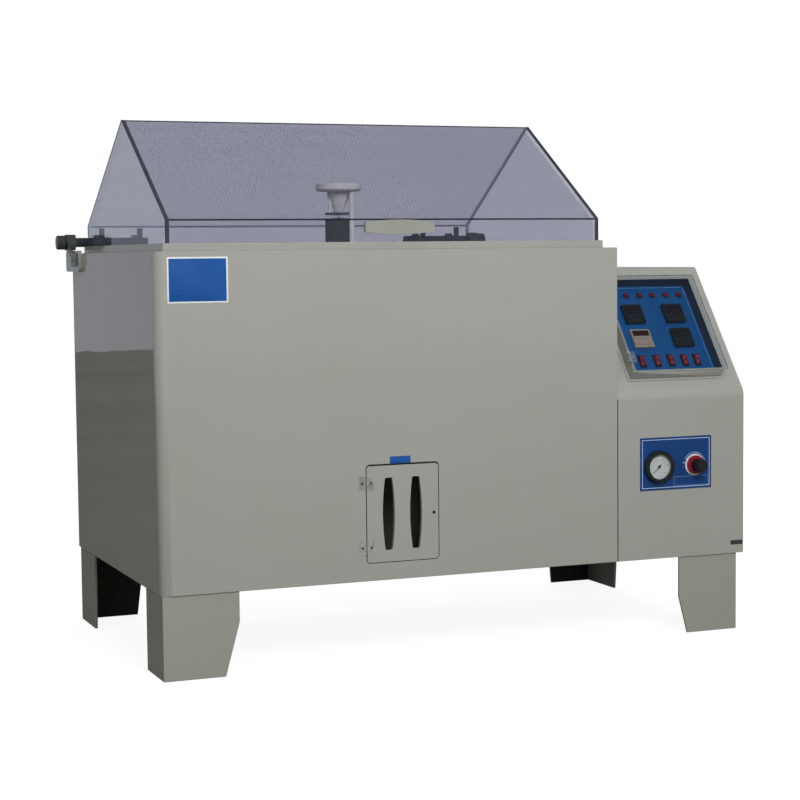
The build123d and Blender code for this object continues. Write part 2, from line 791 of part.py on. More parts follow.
# Access door
with BuildPart() as access_door:
    with BuildSketch(FRONT):
        with Locations((DOOR_MID_X, sum(DOOR_Z) / 2)):
            RectangleRounded(DOOR_X[1] - DOOR_X[0], DOOR_Z[1] - DOOR_Z[0], DOOR_R)
        with Locations((LOCK_X, LOCK_Z)):
            Circle(LOCK_R + LOCK_BORE_GAP, mode=Mode.SUBTRACT)
    extrude(amount=-DOOR_T)
    for x in SLOT_XS:
        slot = barrel_face(FRONT, SLOT_END_W, SLOT_Z[1] - SLOT_Z[0], SLOT_MID_W, (x, sum(SLOT_Z) / 2))
        extrude(slot, amount=-DOOR_T, mode=Mode.SUBTRACT)
keep(access_door.part, "access_door")

with BuildPart() as door_lock:
    with BuildSketch(FRONT.offset(LOCK_FACE_RISE)):
        with Locations((LOCK_X, LOCK_Z)):
            Circle(LOCK_R)
    extrude(amount=-LOCK_FACE_RISE - DOOR_T - CAM_GAP - CAM_T)
    with BuildSketch(FRONT.offset(-DOOR_T - CAM_GAP)):
        with Locations((LOCK_X, LOCK_Z - CAM_L / 2 + CAM_W / 2)):
            SlotOverall(CAM_L, CAM_W, rotation=90)
    extrude(amount=-CAM_T)
    with BuildSketch(FRONT.offset(LOCK_FACE_RISE)):
        with Locations((LOCK_X, LOCK_Z)):
            Rectangle(LOCK_R / 3, LOCK_R * 1.5)
    extrude(amount=-LOCK_FACE_RISE, mode=Mode.SUBTRACT)
keep(door_lock.part, "door_lock")

# Niche behind the door: five boards, then the two measuring cylinders that stand in it
NICHE_X = (OPENING_X[0] - NICHE_SIDE, OPENING_X[1] + NICHE_SIDE)
NICHE_Z = (OPENING_Z[0] - NICHE_LEVEL, OPENING_Z[1] + NICHE_LEVEL)
niche_walls_x = (NICHE_X[0] - NICHE_T, NICHE_X[1] + NICHE_T)
niche_walls_z = (NICHE_Z[0] - NICHE_T, NICHE_Z[1] + NICHE_T)
niche = ring_of_boards(FRONT.offset(-NICHE_D), niche_walls_x, niche_walls_z, NICHE_T, NICHE_D - WALL)
niche_top = niche.pop(1)
with BuildPart() as drilled_top:
    add(niche_top)
    with BuildSketch(TOP.offset(NICHE_Z[1])):
        for x in SLOT_XS:
            with Locations((x, CYLINDER_Y)):
                Circle(TUBE_R + HOLE_FIT)
    extrude(amount=NICHE_T, mode=Mode.SUBTRACT)
niche_back = board(FRONT.offset(-NICHE_D), niche_walls_x, niche_walls_z, -NICHE_T)
keep_all(niche + [drilled_top.part, niche_back], "cylinder_niche")

with BuildPart() as measuring_cylinders:
    for x in SLOT_XS:
        with BuildSketch(TOP.offset(NICHE_Z[0])):
            with Locations((x, CYLINDER_Y)):
                Circle(CYLINDER_BASE_R)
        extrude(amount=CYLINDER_BASE_H)
        with BuildSketch(TOP.offset(NICHE_Z[0] + CYLINDER_BASE_H)):
            with Locations((x, CYLINDER_Y)):
                Circle(CYLINDER_R)
        extrude(amount=CYLINDER_H)
        with BuildSketch(TOP.offset(NICHE_Z[0] + CYLINDER_BASE_H + CYLINDER_FLOOR_T)):
            with Locations((x, CYLINDER_Y)):
                Circle(CYLINDER_R - CYLINDER_WALL)
        extrude(amount=CYLINDER_H - CYLINDER_FLOOR_T, mode=Mode.SUBTRACT)
keep(measuring_cylinders.part, "measuring_cylinders")
CYLINDER_TOP_Z = NICHE_Z[0] + CYLINDER_BASE_H + CYLINDER_H

# Fog collectors: a funnel over the tank floor and a tube that leads down into its measuring cylinder
FUNNEL_Z = RAIL_TOP_Z - FUNNEL_DROP
TUBE_RUN_Z = FLOOR_Z + TUBE_RUN_RISE
STEM_R = TUBE_R + FUNNEL_WALL
STEM_Z = FUNNEL_Z - FUNNEL_RIM_H - FUNNEL_CONE_H


def funnel(x):
    """A collecting funnel, turned about its own axis."""
    middle = Plane(origin=TOP.from_local_coords((x, FUNNEL_Y, 0)), x_dir=(1, 0, 0), z_dir=(0, -1, 0))
    with BuildPart() as piece:
        with BuildSketch(middle):
            with BuildLine():
                Polyline(
                    (FUNNEL_R, FUNNEL_Z),
                    (FUNNEL_R, FUNNEL_Z - FUNNEL_RIM_H),
                    (STEM_R, STEM_Z),
                    (STEM_R, STEM_Z - FUNNEL_CONE_H / 2),
                    (TUBE_R, STEM_Z - FUNNEL_CONE_H / 2),
                    (TUBE_R, STEM_Z + FUNNEL_WALL),
                    (FUNNEL_R - FUNNEL_WALL, FUNNEL_Z - FUNNEL_RIM_H + FUNNEL_WALL),
                    (FUNNEL_R - FUNNEL_WALL, FUNNEL_Z),
                    close=True,
                )
            make_face()
        revolve(axis=Axis(middle.origin, (0, 0, 1)))
    return piece.part


def drain_tube(x, cylinder_x):
    """A tube from a funnel's stem along the tank floor and down through it."""
    stem_end = STEM_Z - FUNNEL_CONE_H / 2
    with BuildPart() as piece:
        with BuildLine(TOP) as route:
            FilletPolyline(
                (x, FUNNEL_Y, stem_end),
                (x, FUNNEL_Y, TUBE_RUN_Z),
                (cylinder_x, CYLINDER_Y, TUBE_RUN_Z),
                (cylinder_x, CYLINDER_Y, CYLINDER_TOP_Z - TUBE_DIP),
                radius=TUBE_BEND_R,
            )
        with BuildSketch(Plane(origin=route.line @ 0, z_dir=route.line % 0)):
            Circle(TUBE_R)
        sweep(path=route.line)
    return piece.part


collectors = [funnel(x) for x in FUNNEL_XS]
collectors += [drain_tube(x, cylinder_x) for x, cylinder_x in zip(FUNNEL_XS, SLOT_XS)]
keep_all(collectors, "collector_funnels")

# Spray tower with its nozzle; the cap's post slides in two guides on the tower's side
POST_OUT = TOWER_R + POST_R + POST_GAP
POST_X = TOWER_X + POST_DX
POST_Y = RIDGE_Y - math.sqrt(POST_OUT**2 - POST_DX**2)
GUIDE_ZS = [TOWER_TOP_Z - drop for drop in GUIDE_DROPS]
TOWER_AT = (TOWER_X, RIDGE_Y)
POST_AT = (POST_X, POST_Y)
GUIDE_TURN = math.degrees(math.atan2(POST_Y - RIDGE_Y, POST_DX))

with BuildPart() as spray_tower:
    with BuildSketch(TOP.offset(FLOOR_Z)):
        with Locations(TOWER_AT):
            Circle(TOWER_FOOT_R)
    extrude(amount=TOWER_FOOT_H)
    with BuildSketch(TOP.offset(FLOOR_Z)):
        with Locations(TOWER_AT):
            Circle(TOWER_R)
    extrude(amount=TOWER_TOP_Z - FLOOR_Z)
    for z in GUIDE_ZS:
        with BuildSketch(TOP.offset(z)):
            with Locations(POST_AT):
                Circle(POST_R + GUIDE_WALL)
            with Locations(Location(TOWER_AT, GUIDE_TURN)):
                with Locations((POST_OUT / 2, 0)):
                    Rectangle(POST_OUT, POST_R)
        extrude(amount=GUIDE_H)
    with BuildSketch(TOP.offset(GUIDE_ZS[0])):
        with Locations(POST_AT):
            Circle(POST_R + ROD_BORE_GAP)
    extrude(amount=GUIDE_ZS[1] + GUIDE_H - GUIDE_ZS[0], mode=Mode.SUBTRACT)
    with BuildSketch(TOP.offset(FLOOR_Z)):
        with Locations(TOWER_AT):
            Circle(TOWER_R - TOWER_WALL)
    extrude(amount=TOWER_TOP_Z - TOWER_TOP_T - FLOOR_Z, mode=Mode.SUBTRACT)
    with BuildSketch(TOP.offset(TOWER_TOP_Z)):
        with Locations(TOWER_AT):
            Circle(NOZZLE_R)
    extrude(amount=-TOWER_TOP_T, mode=Mode.SUBTRACT)
keep(spray_tower.part, "spray_tower")

with BuildPart() as spray_nozzle:
    with BuildSketch(TOP.offset(TOWER_TOP_Z)):
        with Locations(TOWER_AT):
            Circle(NOZZLE_R)
    extrude(amount=-NOZZLE_DOWN)
    with BuildSketch(TOP.offset(TOWER_TOP_Z)):
        with Locations(TOWER_AT):
            Circle(NOZZLE_FLANGE_R)
    extrude(amount=NOZZLE_FLANGE_T)
    with BuildSketch(TOP.offset(TOWER_TOP_Z + NOZZLE_FLANGE_T)):
        with Locations(TOWER_AT):
            Circle(NOZZLE_TIP_R)
    extrude(amount=NOZZLE_TIP_H)
keep(spray_nozzle.part, "spray_nozzle")

DISC_Z = TOWER_TOP_Z + DISC_RISE
CONE_Z = TOWER_TOP_Z + CAP_CONE_RISE
BRIM_Z = TOWER_TOP_Z + CAP_BRIM_RISE
tower_middle = Plane(origin=TOP.from_local_coords((TOWER_X, RIDGE_Y, 0)), x_dir=(1, 0, 0), z_dir=(0, -1, 0))
with BuildPart() as tower_cap:
    with BuildSketch(tower_middle):
        with BuildLine():
            Polyline(
                (0, DISC_Z - CAP_NECK_BELOW),
                (CAP_NECK_R, DISC_Z - CAP_NECK_BELOW),
                (CAP_NECK_R, CONE_Z),
                (CAP_CONE_TOP_R, CONE_Z + CAP_CONE_H),
                (CAP_CONE_TOP_R, BRIM_Z),
                (CAP_BRIM_R - CAP_BRIM_EDGE, BRIM_Z),
                (CAP_BRIM_R, BRIM_Z + CAP_BRIM_EDGE),
                (CAP_BRIM_R, BRIM_Z + CAP_BRIM_H),
                (0, BRIM_Z + CAP_BRIM_H),
                close=True,
            )
        make_face()
    revolve(axis=Axis(tower_middle.origin, (0, 0, 1)))
    with BuildSketch(TOP.offset(BRIM_Z)):
        with Locations(POST_AT):
            Circle(POST_R)
    extrude(amount=TOWER_TOP_Z - POST_DROP - BRIM_Z)
    with BuildSketch(TOP.offset(DISC_Z + DISC_T)):
        with Locations((TOWER_X - STRUT_OUT, RIDGE_Y)):
            Circle(STRUT_R)
    extrude(amount=BRIM_Z - DISC_Z - DISC_T)
keep(tower_cap.part, "tower_cap")

with BuildPart() as baffle_disc:
    with BuildSketch(TOP.offset(DISC_Z)):
        with Locations(TOWER_AT):
            Circle(DISC_R)
            Circle(CAP_NECK_R, mode=Mode.SUBTRACT)
    extrude(amount=DISC_T)
keep(baffle_disc.part, "baffle_disc")

# Heater loop over the tank floor, from and back to the right liner wall
HEATER_Z = FLOOR_Z + HEATER_RISE
HEATER_Y = (RIDGE_Y - HEATER_LOOP_W / 2, RIDGE_Y + HEATER_LOOP_W / 2)
with BuildPart() as heater_tube:
    with BuildLine(TOP) as loop:
        FilletPolyline(
            (TANK_W - LINER_IN, HEATER_Y[0], HEATER_Z),
            (LINER_IN + HEATER_END_GAP, HEATER_Y[0], HEATER_Z),
            (LINER_IN + HEATER_END_GAP, HEATER_Y[1], HEATER_Z),
            (TANK_W - LINER_IN, HEATER_Y[1], HEATER_Z),
            radius=HEATER_BEND_R,
        )
    with BuildSketch(Plane(origin=loop.line @ 0, z_dir=loop.line % 0)):
        Circle(HEATER_R)
    sweep(path=loop.line)
keep(heater_tube.part, "heater_tube")

# Sample rack: a notched rail on each side wall and round bars across, as many before the tower as behind
RAIL_L = TANK_D - 2 * (LINER_IN + RAIL_END_GAP)
bar_span = RAIL_L / 2 - BAR_FROM_END - BAR_FROM_MIDDLE
bar_steps = [BAR_FROM_MIDDLE + bar_span * i / (BAR_SIDE_COUNT - 1) for i in range(BAR_SIDE_COUNT)]
BAR_YS = [RIDGE_Y - step for step in bar_steps] + [RIDGE_Y + step for step in bar_steps]
with BuildPart() as rack_rails:
    with BuildSketch(SIDE.offset(LINER_IN)):
        with Locations((RIDGE_Y, RAIL_TOP_Z - RAIL_H / 2)):
            Rectangle(RAIL_L, RAIL_H)
        for y in BAR_YS:
            with Locations((y, RAIL_TOP_Z)):
                Circle(BAR_R, mode=Mode.SUBTRACT)
    extrude(amount=RAIL_T)
    mirror(about=MIDDLE)
keep(rack_rails.part, "rack_rails")

with BuildPart() as rack_bars:
    with BuildSketch(SIDE.offset(LINER_IN + HOLE_FIT)):
        for y in BAR_YS:
            with Locations((y, RAIL_TOP_Z)):
                Circle(BAR_R)
    extrude(amount=TANK_W - 2 * LINER_IN - 2 * HOLE_FIT)
keep(rack_bars.part, "rack_bars")

# Console housing: one folded shell, open towards the tank's side
panel_mid_x = sum(FRAME_X) / 2
panel_mid_y = sum(FRAME_Y) / 2
well_w = FRAME_X[1] - FRAME_X[0] - 2 * FRAME_T
well_l = FRAME_Y[1] - FRAME_Y[0] - 2 * FRAME_T

with BuildPart() as console_housing:
    with BuildSketch(SIDE.offset(TANK_W)) as section:
        with BuildLine():
            Polyline(
                (0, 0),
                (0, CONSOLE_FRONT_H),
                (SLOPE_RUN, CONSOLE_TOP_H),
                (CONSOLE_D, CONSOLE_TOP_H),
                (CONSOLE_D, 0),
                close=True,
            )
        make_face()
        fillet(section.vertices().sort_by_distance((0, CONSOLE_FRONT_H))[0], CONSOLE_BEND_R)
        fillet(section.vertices().sort_by_distance((SLOPE_RUN, CONSOLE_TOP_H))[0], CONSOLE_TOP_R)
    extrude(amount=CONSOLE_W)
    fillet(console_housing.faces().sort_by(Axis.X)[-1].edges(), CONSOLE_EDGE_R)
    with BuildSketch(SIDE.offset(TANK_W)):
        add(section.sketch_local)
        offset(amount=-CONSOLE_T, mode=Mode.REPLACE)
    extrude(amount=CONSOLE_W - CONSOLE_T, mode=Mode.SUBTRACT)
    with BuildSketch(SLOPE):
        with Locations((panel_mid_x, panel_mid_y)):
            Rectangle(well_w - 2 * PANEL_HOLE_MARGIN, well_l - 2 * PANEL_HOLE_MARGIN)
    extrude(amount=-CONSOLE_T, mode=Mode.SUBTRACT)
    with BuildSketch(CONSOLE_FRONT):
        with Locations((GAUGE_X, GAUGE_Z)):
            Circle(GAUGE_CASE_R + HOLE_FIT)
        with Locations((REG_X, REG_Z)):
            Circle(REG_BODY_R + HOLE_FIT)
    extrude(amount=-CONSOLE_T, mode=Mode.SUBTRACT)
    with BuildSketch(CONSOLE_FRONT.offset(-CONSOLE_D)):
        with Locations((AIR_X, AIR_Z)):
            Circle(AIR_R - SPIGOT_WALL)
    extrude(amount=CONSOLE_T, mode=Mode.SUBTRACT)
keep(console_housing.part, "console_housing")

# Raised frame round the control panel, with a foot strip outside it
frame_boards = ring_of_boards(SLOPE, FRAME_X, FRAME_Y, FRAME_T, FRAME_H)
foot_x = (FRAME_X[0] - FOOT_W, FRAME_X[1] + FOOT_W)
foot_y = (FRAME_Y[0] - FOOT_W, FRAME_Y[1] + FOOT_W)
keep_all(frame_boards + ring_of_boards(SLOPE, foot_x, foot_y, FOOT_W, FOOT_T), "panel_frame")

# Control panel plate with its cut-outs
LAMP_AT = [(LAMP_X0 + LAMP_PITCH * i, LAMP_Y) for i in range(LAMP_COUNT)]
ROCKER_AT = [(x, ROCKER_Y) for x in ROCKER_XS]

with BuildPart() as control_panel:
    with BuildSketch(SLOPE):
        with Locations((panel_mid_x, panel_mid_y)):
            Rectangle(well_w - 2 * PANEL_GAP, well_l - 2 * PANEL_GAP)
        with Locations(*CONTROLLER_AT, TIMER_AT):
            Rectangle(DIN_BODY + 2 * HOLE_FIT, DIN_BODY + 2 * HOLE_FIT, mode=Mode.SUBTRACT)
        with Locations(*ROCKER_AT):
            Rectangle(BEZEL_BODY_W + 2 * HOLE_FIT, BEZEL_BODY_L + 2 * HOLE_FIT, mode=Mode.SUBTRACT)
        with Locations(*LAMP_AT):
            Circle(LAMP_BODY_R + HOLE_FIT, mode=Mode.SUBTRACT)
    extrude(amount=PANEL_T)
keep(control_panel.part, "control_panel")

PANEL_FACE = SLOPE.offset(PANEL_T)

with BuildPart() as pilot_lamps:
    with BuildSketch(PANEL_FACE):
        with Locations(*LAMP_AT):
            Circle(LAMP_R)
    extrude(amount=LAMP_RISE)
    fillet(pilot_lamps.faces().group_by(SLOPE_AXIS)[-1].edges(), LAMP_RISE / 2)
    with BuildSketch(PANEL_FACE):
        with Locations(*LAMP_AT):
            Circle(LAMP_BODY_R)
    extrude(amount=-LAMP_BODY_L)
keep(pilot_lamps.part, "pilot_lamps")

# Panel instruments in square standard bezels
with BuildPart() as panel_controllers:
    with BuildSketch(PANEL_FACE):
        with Locations(*CONTROLLER_AT):
            RectangleRounded(DIN, DIN, DIN_EDGE_R)
    extrude(amount=DIN_RISE)
    chamfer(panel_controllers.faces().group_by(SLOPE_AXIS)[-1].edges(), DIN_CHAMFER)
    with BuildSketch(PANEL_FACE):
        with Locations(*CONTROLLER_AT):
            Rectangle(DIN_BODY, DIN_BODY)
    extrude(amount=-DIN_BODY_L)
    with BuildSketch(PANEL_FACE.offset(DIN_RISE)):
        with Locations(*[(x, u + DIN_WINDOW_Y) for x, u in CONTROLLER_AT]):
            Rectangle(*DIN_WINDOW)
    extrude(amount=-DIN_WINDOW_DEPTH, mode=Mode.SUBTRACT)
keep(panel_controllers.part, "panel_controllers")

TIMER_FACE = PANEL_FACE.offset(TIMER_RISE)
KEY_X0 = TIMER_AT[0] - KEY_PITCH * (KEY_COUNT - 1) / 2
KEY_AT = [(KEY_X0 + KEY_PITCH * i, TIMER_AT[1] + KEY_Y) for i in range(KEY_COUNT)]


def across(x, u, h):
    """A plane that looks along the control panel's width, with its origin at a pivot over the slope."""
    return Plane(origin=SLOPE.from_local_coords((x, u, h)), x_dir=UP_SLOPE, z_dir=(1, 0, 0))


def pin_holes(pivots, hole_r, half_length):
    """Cut a round hole across each pivot, a little longer than the pins that turn in it."""
    for pivot in pivots:
        with BuildSketch(across(*pivot)) as hole:
            Circle(hole_r)
        extrude(hole.sketch, amount=half_length, both=True, mode=Mode.SUBTRACT)


KEY_PIVOT_H = PANEL_T + TIMER_RISE - KEY_PIVOT_DROP
KEY_PIVOTS = [(x, u, KEY_PIVOT_H) for x, u in KEY_AT]

with BuildPart() as preset_timer:
    with BuildSketch(PANEL_FACE):
        with Locations(TIMER_AT):
            RectangleRounded(DIN, DIN, DIN_EDGE_R)
    extrude(amount=TIMER_RISE)
    chamfer(preset_timer.faces().group_by(SLOPE_AXIS)[-1].edges(), DIN_CHAMFER)
    with BuildSketch(PANEL_FACE):
        with Locations(TIMER_AT):
            Rectangle(DIN_BODY, DIN_BODY)
    extrude(amount=-DIN_BODY_L)
    with BuildSketch(TIMER_FACE):
        with Locations((TIMER_AT[0], TIMER_AT[1] + TIMER_WINDOW_Y)):
            Rectangle(*TIMER_WINDOW)
    extrude(amount=-TIMER_WINDOW_DEPTH, mode=Mode.SUBTRACT)
    with BuildSketch(TIMER_FACE):
        with Locations(*KEY_AT):
            Rectangle(KEY_W + 2 * KEY_GAP, KEY_L + 2 * KEY_END_GAP)
    extrude(amount=-KEY_WELL, mode=Mode.SUBTRACT)
    pin_holes(KEY_PIVOTS, KEY_PIN_R + PIN_HOLE_GAP, KEY_W / 2 + KEY_PIN_L + PIN_HOLE_END)
keep(preset_timer.part, "preset_timer")


def dished_key(pivot, width, length, top, dish, belly, pin_r, pin_l, tilt):
    """A key or rocker with two shallow faces that meet over its pivot, and a pin out of each side."""
    half = length / 2
    with BuildPart() as piece:
        with BuildSketch(spun(across(*pivot), tilt)):
            with BuildLine():
                Polyline(
                    (-half, top),
                    (0, top - dish),
                    (half, top),
                    (half, 0),
                    (belly, -belly),
                    (-belly, -belly),
                    (-half, 0),
                    close=True,
                )
            make_face()
        extrude(amount=width / 2, both=True)
        with BuildSketch(across(*pivot)):
            Circle(pin_r)
        extrude(amount=width / 2 + pin_l, both=True)
    return piece.part


for i, pivot in enumerate(KEY_PIVOTS):
    key = dished_key(
        pivot, KEY_W, KEY_L, KEY_PIVOT_DROP + KEY_PROUD, KEY_DISH, KEY_BELLY, KEY_PIN_R, KEY_PIN_L, 0
    )
    keep(key, f"timer_key_{i + 1}")

# Rocker switches
ROCKER_PIVOT_H = PANEL_T + BEZEL_T - ROCKER_PIVOT_DROP
ROCKER_PIVOTS = [(x, u, ROCKER_PIVOT_H) for x, u in ROCKER_AT]

with BuildPart() as rocker_bezels:
    with BuildSketch(PANEL_FACE):
        with Locations(*ROCKER_AT):
            RectangleRounded(BEZEL_W, BEZEL_L, BEZEL_R)
    extrude(amount=BEZEL_T)
    with BuildSketch(PANEL_FACE):
        with Locations(*ROCKER_AT):
            Rectangle(BEZEL_BODY_W, BEZEL_BODY_L)
    extrude(amount=-BEZEL_BODY_D)
    with BuildSketch(PANEL_FACE.offset(BEZEL_T)):
        with Locations(*ROCKER_AT):
            Rectangle(ROCKER_W + 2 * ROCKER_GAP, ROCKER_L + 2 * ROCKER_END_GAP)
    extrude(amount=-ROCKER_WELL, mode=Mode.SUBTRACT)
    pin_holes(ROCKER_PIVOTS, ROCKER_PIN_R + PIN_HOLE_GAP, ROCKER_W / 2 + ROCKER_PIN_L + PIN_HOLE_END)
keep(rocker_bezels.part, "rocker_bezels")

for i, pivot in enumerate(ROCKER_PIVOTS):
    rocker = dished_key(
        pivot,
        ROCKER_W,
        ROCKER_L,
        ROCKER_PROUD + ROCKER_PIVOT_DROP,
        ROCKER_DISH,
        ROCKER_BELLY,
        ROCKER_PIN_R,
        ROCKER_PIN_L,
        ROCKER_TILT,
    )
    keep(rocker, f"rocker_{i + 1}")

# Clear cover over the control panel
cover_x = (FRAME_X[0] + COVER_EDGE_GAP, FRAME_X[1] + COVER_OVER_RIGHT)
cover_y = (FRAME_Y[0], FRAME_Y[1] + COVER_OVER_TOP)
with BuildPart() as panel_cover:
    with BuildSketch(SLOPE.offset(FRAME_H + COVER_LIFT)):
        with Locations((sum(cover_x) / 2, sum(cover_y) / 2)):
            RectangleRounded(cover_x[1] - cover_x[0], cover_y[1] - cover_y[0], COVER_R)
    extrude(amount=COVER_T)
keep(panel_cover.part, "panel_cover")

# Pressure gauge and air regulator on a plate on the console's front
with BuildPart() as gauge_plate:
    with BuildSketch(CONSOLE_FRONT):
        with Locations((sum(PLATE_X) / 2, sum(PLATE_Z) / 2)):
            Rectangle(PLATE_X[1] - PLATE_X[0], PLATE_Z[1] - PLATE_Z[0])
        with Locations((GAUGE_X, GAUGE_Z)):
            Circle(GAUGE_CASE_R + HOLE_FIT, mode=Mode.SUBTRACT)
        with Locations((REG_X, REG_Z)):
            Circle(REG_BODY_R + HOLE_FIT, mode=Mode.SUBTRACT)
    extrude(amount=PLATE_T)
keep(gauge_plate.part, "gauge_plate")

PLATE_FACE = CONSOLE_FRONT.offset(PLATE_T)
GAUGE_AT = (GAUGE_X, GAUGE_Z)
REG_AT = (REG_X, REG_Z)


def disc(plane, centre, radius, height, mode=Mode.ADD):
    """Add a round disc to, or cut it from, the part being made."""
    with BuildSketch(plane) as round_face:
        with Locations(centre):
            Circle(radius)
    extrude(round_face.sketch, amount=height, mode=mode)


GAUGE_FACE = PLATE_FACE.offset(GAUGE_BEZEL_H)
DIAL_SEAT = GAUGE_FACE.offset(-GAUGE_DIAL_DEPTH)
DIAL_FACE = DIAL_SEAT.offset(GAUGE_DIAL_T)
NEEDLE_BACK = DIAL_FACE.offset(NEEDLE_LIFT)

with BuildPart() as gauge_case:
    disc(PLATE_FACE, GAUGE_AT, GAUGE_BEZEL_R, GAUGE_BEZEL_H)
    fillet(gauge_case.faces().sort_by(Axis.Y)[0].edges(), GAUGE_BEZEL_EDGE)
    disc(PLATE_FACE, GAUGE_AT, GAUGE_CASE_R, -GAUGE_CASE_D)
    disc(GAUGE_FACE, GAUGE_AT, GAUGE_EYE_R, -GAUGE_DIAL_DEPTH, Mode.SUBTRACT)
keep(gauge_case.part, "gauge_case")

with BuildPart() as gauge_dial:
    disc(DIAL_SEAT, GAUGE_AT, GAUGE_EYE_R - GAUGE_FIT, GAUGE_DIAL_T)
    disc(DIAL_FACE, GAUGE_AT, NEEDLE_PIN_R, NEEDLE_LIFT + NEEDLE_T)
keep(gauge_dial.part, "gauge_dial")

needle_origin = NEEDLE_BACK.from_local_coords(GAUGE_AT)
needle_plane = spun(Plane(origin=needle_origin, x_dir=(1, 0, 0), z_dir=(0, -1, 0)), NEEDLE_ANGLE)
with BuildPart() as gauge_needle:
    with BuildSketch(needle_plane):
        with BuildLine():
            Polyline(
                (-NEEDLE_TAIL, -NEEDLE_HUB_R / 2),
                (NEEDLE_L, 0),
                (-NEEDLE_TAIL, NEEDLE_HUB_R / 2),
                close=True,
            )
        make_face()
        Circle(NEEDLE_HUB_R)
        Circle(NEEDLE_PIN_R + NEEDLE_PIN_GAP, mode=Mode.SUBTRACT)
    extrude(amount=NEEDLE_T)
keep(gauge_needle.part, "gauge_needle")

with BuildPart() as gauge_lens:
    disc(GAUGE_FACE.offset(-GAUGE_LENS_DROP), GAUGE_AT, GAUGE_EYE_R - GAUGE_FIT, -GAUGE_LENS_T)
keep(gauge_lens.part, "gauge_lens")

WASHER_FACE = PLATE_FACE.offset(REG_WASHER_T)
COLLAR_FACE = WASHER_FACE.offset(REG_COLLAR_H)
KNOB_BACK = COLLAR_FACE.offset(KNOB_GAP)

with BuildPart() as regulator_body:
    disc(PLATE_FACE, REG_AT, REG_WASHER_R, REG_WASHER_T)
    disc(WASHER_FACE, REG_AT, REG_COLLAR_R, REG_COLLAR_H)
    chamfer(regulator_body.faces().sort_by(Axis.Y)[0].edges(), KNOB_EDGE)
    disc(COLLAR_FACE, REG_AT, REG_NECK_R, REG_NECK_H)
    disc(PLATE_FACE, REG_AT, REG_BODY_R, -REG_BODY_D)
keep(regulator_body.part, "regulator_body")

with BuildPart() as regulator_knob:
    disc(KNOB_BACK, REG_AT, KNOB_R, KNOB_L)
    chamfer(regulator_knob.faces().sort_by(Axis.Y)[0].edges(), KNOB_EDGE)
    with BuildSketch(KNOB_BACK):
        with Locations(REG_AT):
            with PolarLocations(KNOB_R, KNOB_FLUTES):
                Circle(KNOB_FLUTE_R)
    extrude(amount=KNOB_L, mode=Mode.SUBTRACT)
    disc(KNOB_BACK, REG_AT, REG_NECK_R + KNOB_BORE_GAP, REG_NECK_H, Mode.SUBTRACT)
keep(regulator_knob.part, "regulator_knob")

# Air saturator barrel inside the console
with BuildPart() as saturator_barrel:
    with BuildSketch(TOP.offset(CONSOLE_T)):
        with Locations((TANK_W + BARREL_X, BARREL_Y)):
            Circle(BARREL_R)
    extrude(amount=BARREL_H)
    fillet(saturator_barrel.faces().sort_by(Axis.Z)[-1].edges(), BARREL_DOME)
keep(saturator_barrel.part, "saturator_barrel")

# Spigots on the back: two drains and the fog exhaust on the tank, the air inlet on the console
with BuildPart() as rear_ports:
    tank_back = FRONT.offset(-TANK_D)
    console_back = CONSOLE_FRONT.offset(-CONSOLE_D)
    ports = [(tank_back, *port) for port in TANK_PORTS] + [(console_back, AIR_X, AIR_Z, AIR_R)]
    for back, x, z, r in ports:
        disc(back, (x, z), r + SPIGOT_FLANGE, -SPIGOT_FLANGE_T)
        disc(back, (x, z), r, -SPIGOT_L)
        disc(back, (x, z), r - SPIGOT_WALL, -SPIGOT_L, Mode.SUBTRACT)
keep(rear_ports.part, "rear_ports")
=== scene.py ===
"""The looks of a salt-fog test chamber: its finishes, fasteners, dials, labels, light and camera."""

import math

import bmesh
import bpy
from mathutils import Matrix, Vector

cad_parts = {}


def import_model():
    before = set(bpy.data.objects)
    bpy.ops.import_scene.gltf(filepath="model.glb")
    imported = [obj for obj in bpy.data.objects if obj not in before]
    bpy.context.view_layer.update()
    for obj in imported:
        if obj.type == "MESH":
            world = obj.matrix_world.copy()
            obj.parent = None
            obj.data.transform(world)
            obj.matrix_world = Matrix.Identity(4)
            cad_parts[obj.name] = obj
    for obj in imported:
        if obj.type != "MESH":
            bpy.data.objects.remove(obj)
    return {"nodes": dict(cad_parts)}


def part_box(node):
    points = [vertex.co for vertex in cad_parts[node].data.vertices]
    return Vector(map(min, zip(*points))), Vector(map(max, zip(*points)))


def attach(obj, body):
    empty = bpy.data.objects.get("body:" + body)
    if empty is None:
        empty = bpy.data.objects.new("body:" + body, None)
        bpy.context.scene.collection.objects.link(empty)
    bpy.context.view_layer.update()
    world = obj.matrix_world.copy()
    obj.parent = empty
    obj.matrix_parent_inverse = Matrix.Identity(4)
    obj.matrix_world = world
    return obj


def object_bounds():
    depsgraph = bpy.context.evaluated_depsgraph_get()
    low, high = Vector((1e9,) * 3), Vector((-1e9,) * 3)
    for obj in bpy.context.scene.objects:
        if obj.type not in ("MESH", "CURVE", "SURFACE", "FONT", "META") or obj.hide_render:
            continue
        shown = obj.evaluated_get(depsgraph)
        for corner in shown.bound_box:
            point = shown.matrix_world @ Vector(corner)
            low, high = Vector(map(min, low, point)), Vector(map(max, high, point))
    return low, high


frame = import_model()
cad_low, cad_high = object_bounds()
nodes = frame["nodes"]

MM = 0.001
X_AXIS = Vector((1, 0, 0))
Y_AXIS = Vector((0, 1, 0))
Z_AXIS = Vector((0, 0, 1))
SHARP_ANGLE = math.radians(35)

# Places and sizes in millimetres, from the lower front left corner of the tank's casing
TANK_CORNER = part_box("front_panel")[0]
TANK_W = 1000
TANK_D = 731
BODY_H = 669
CONSOLE_D = 705
CONSOLE_FOOT_H = 355
CONSOLE_TOP_H = 624
SLOPE_RUN = 205

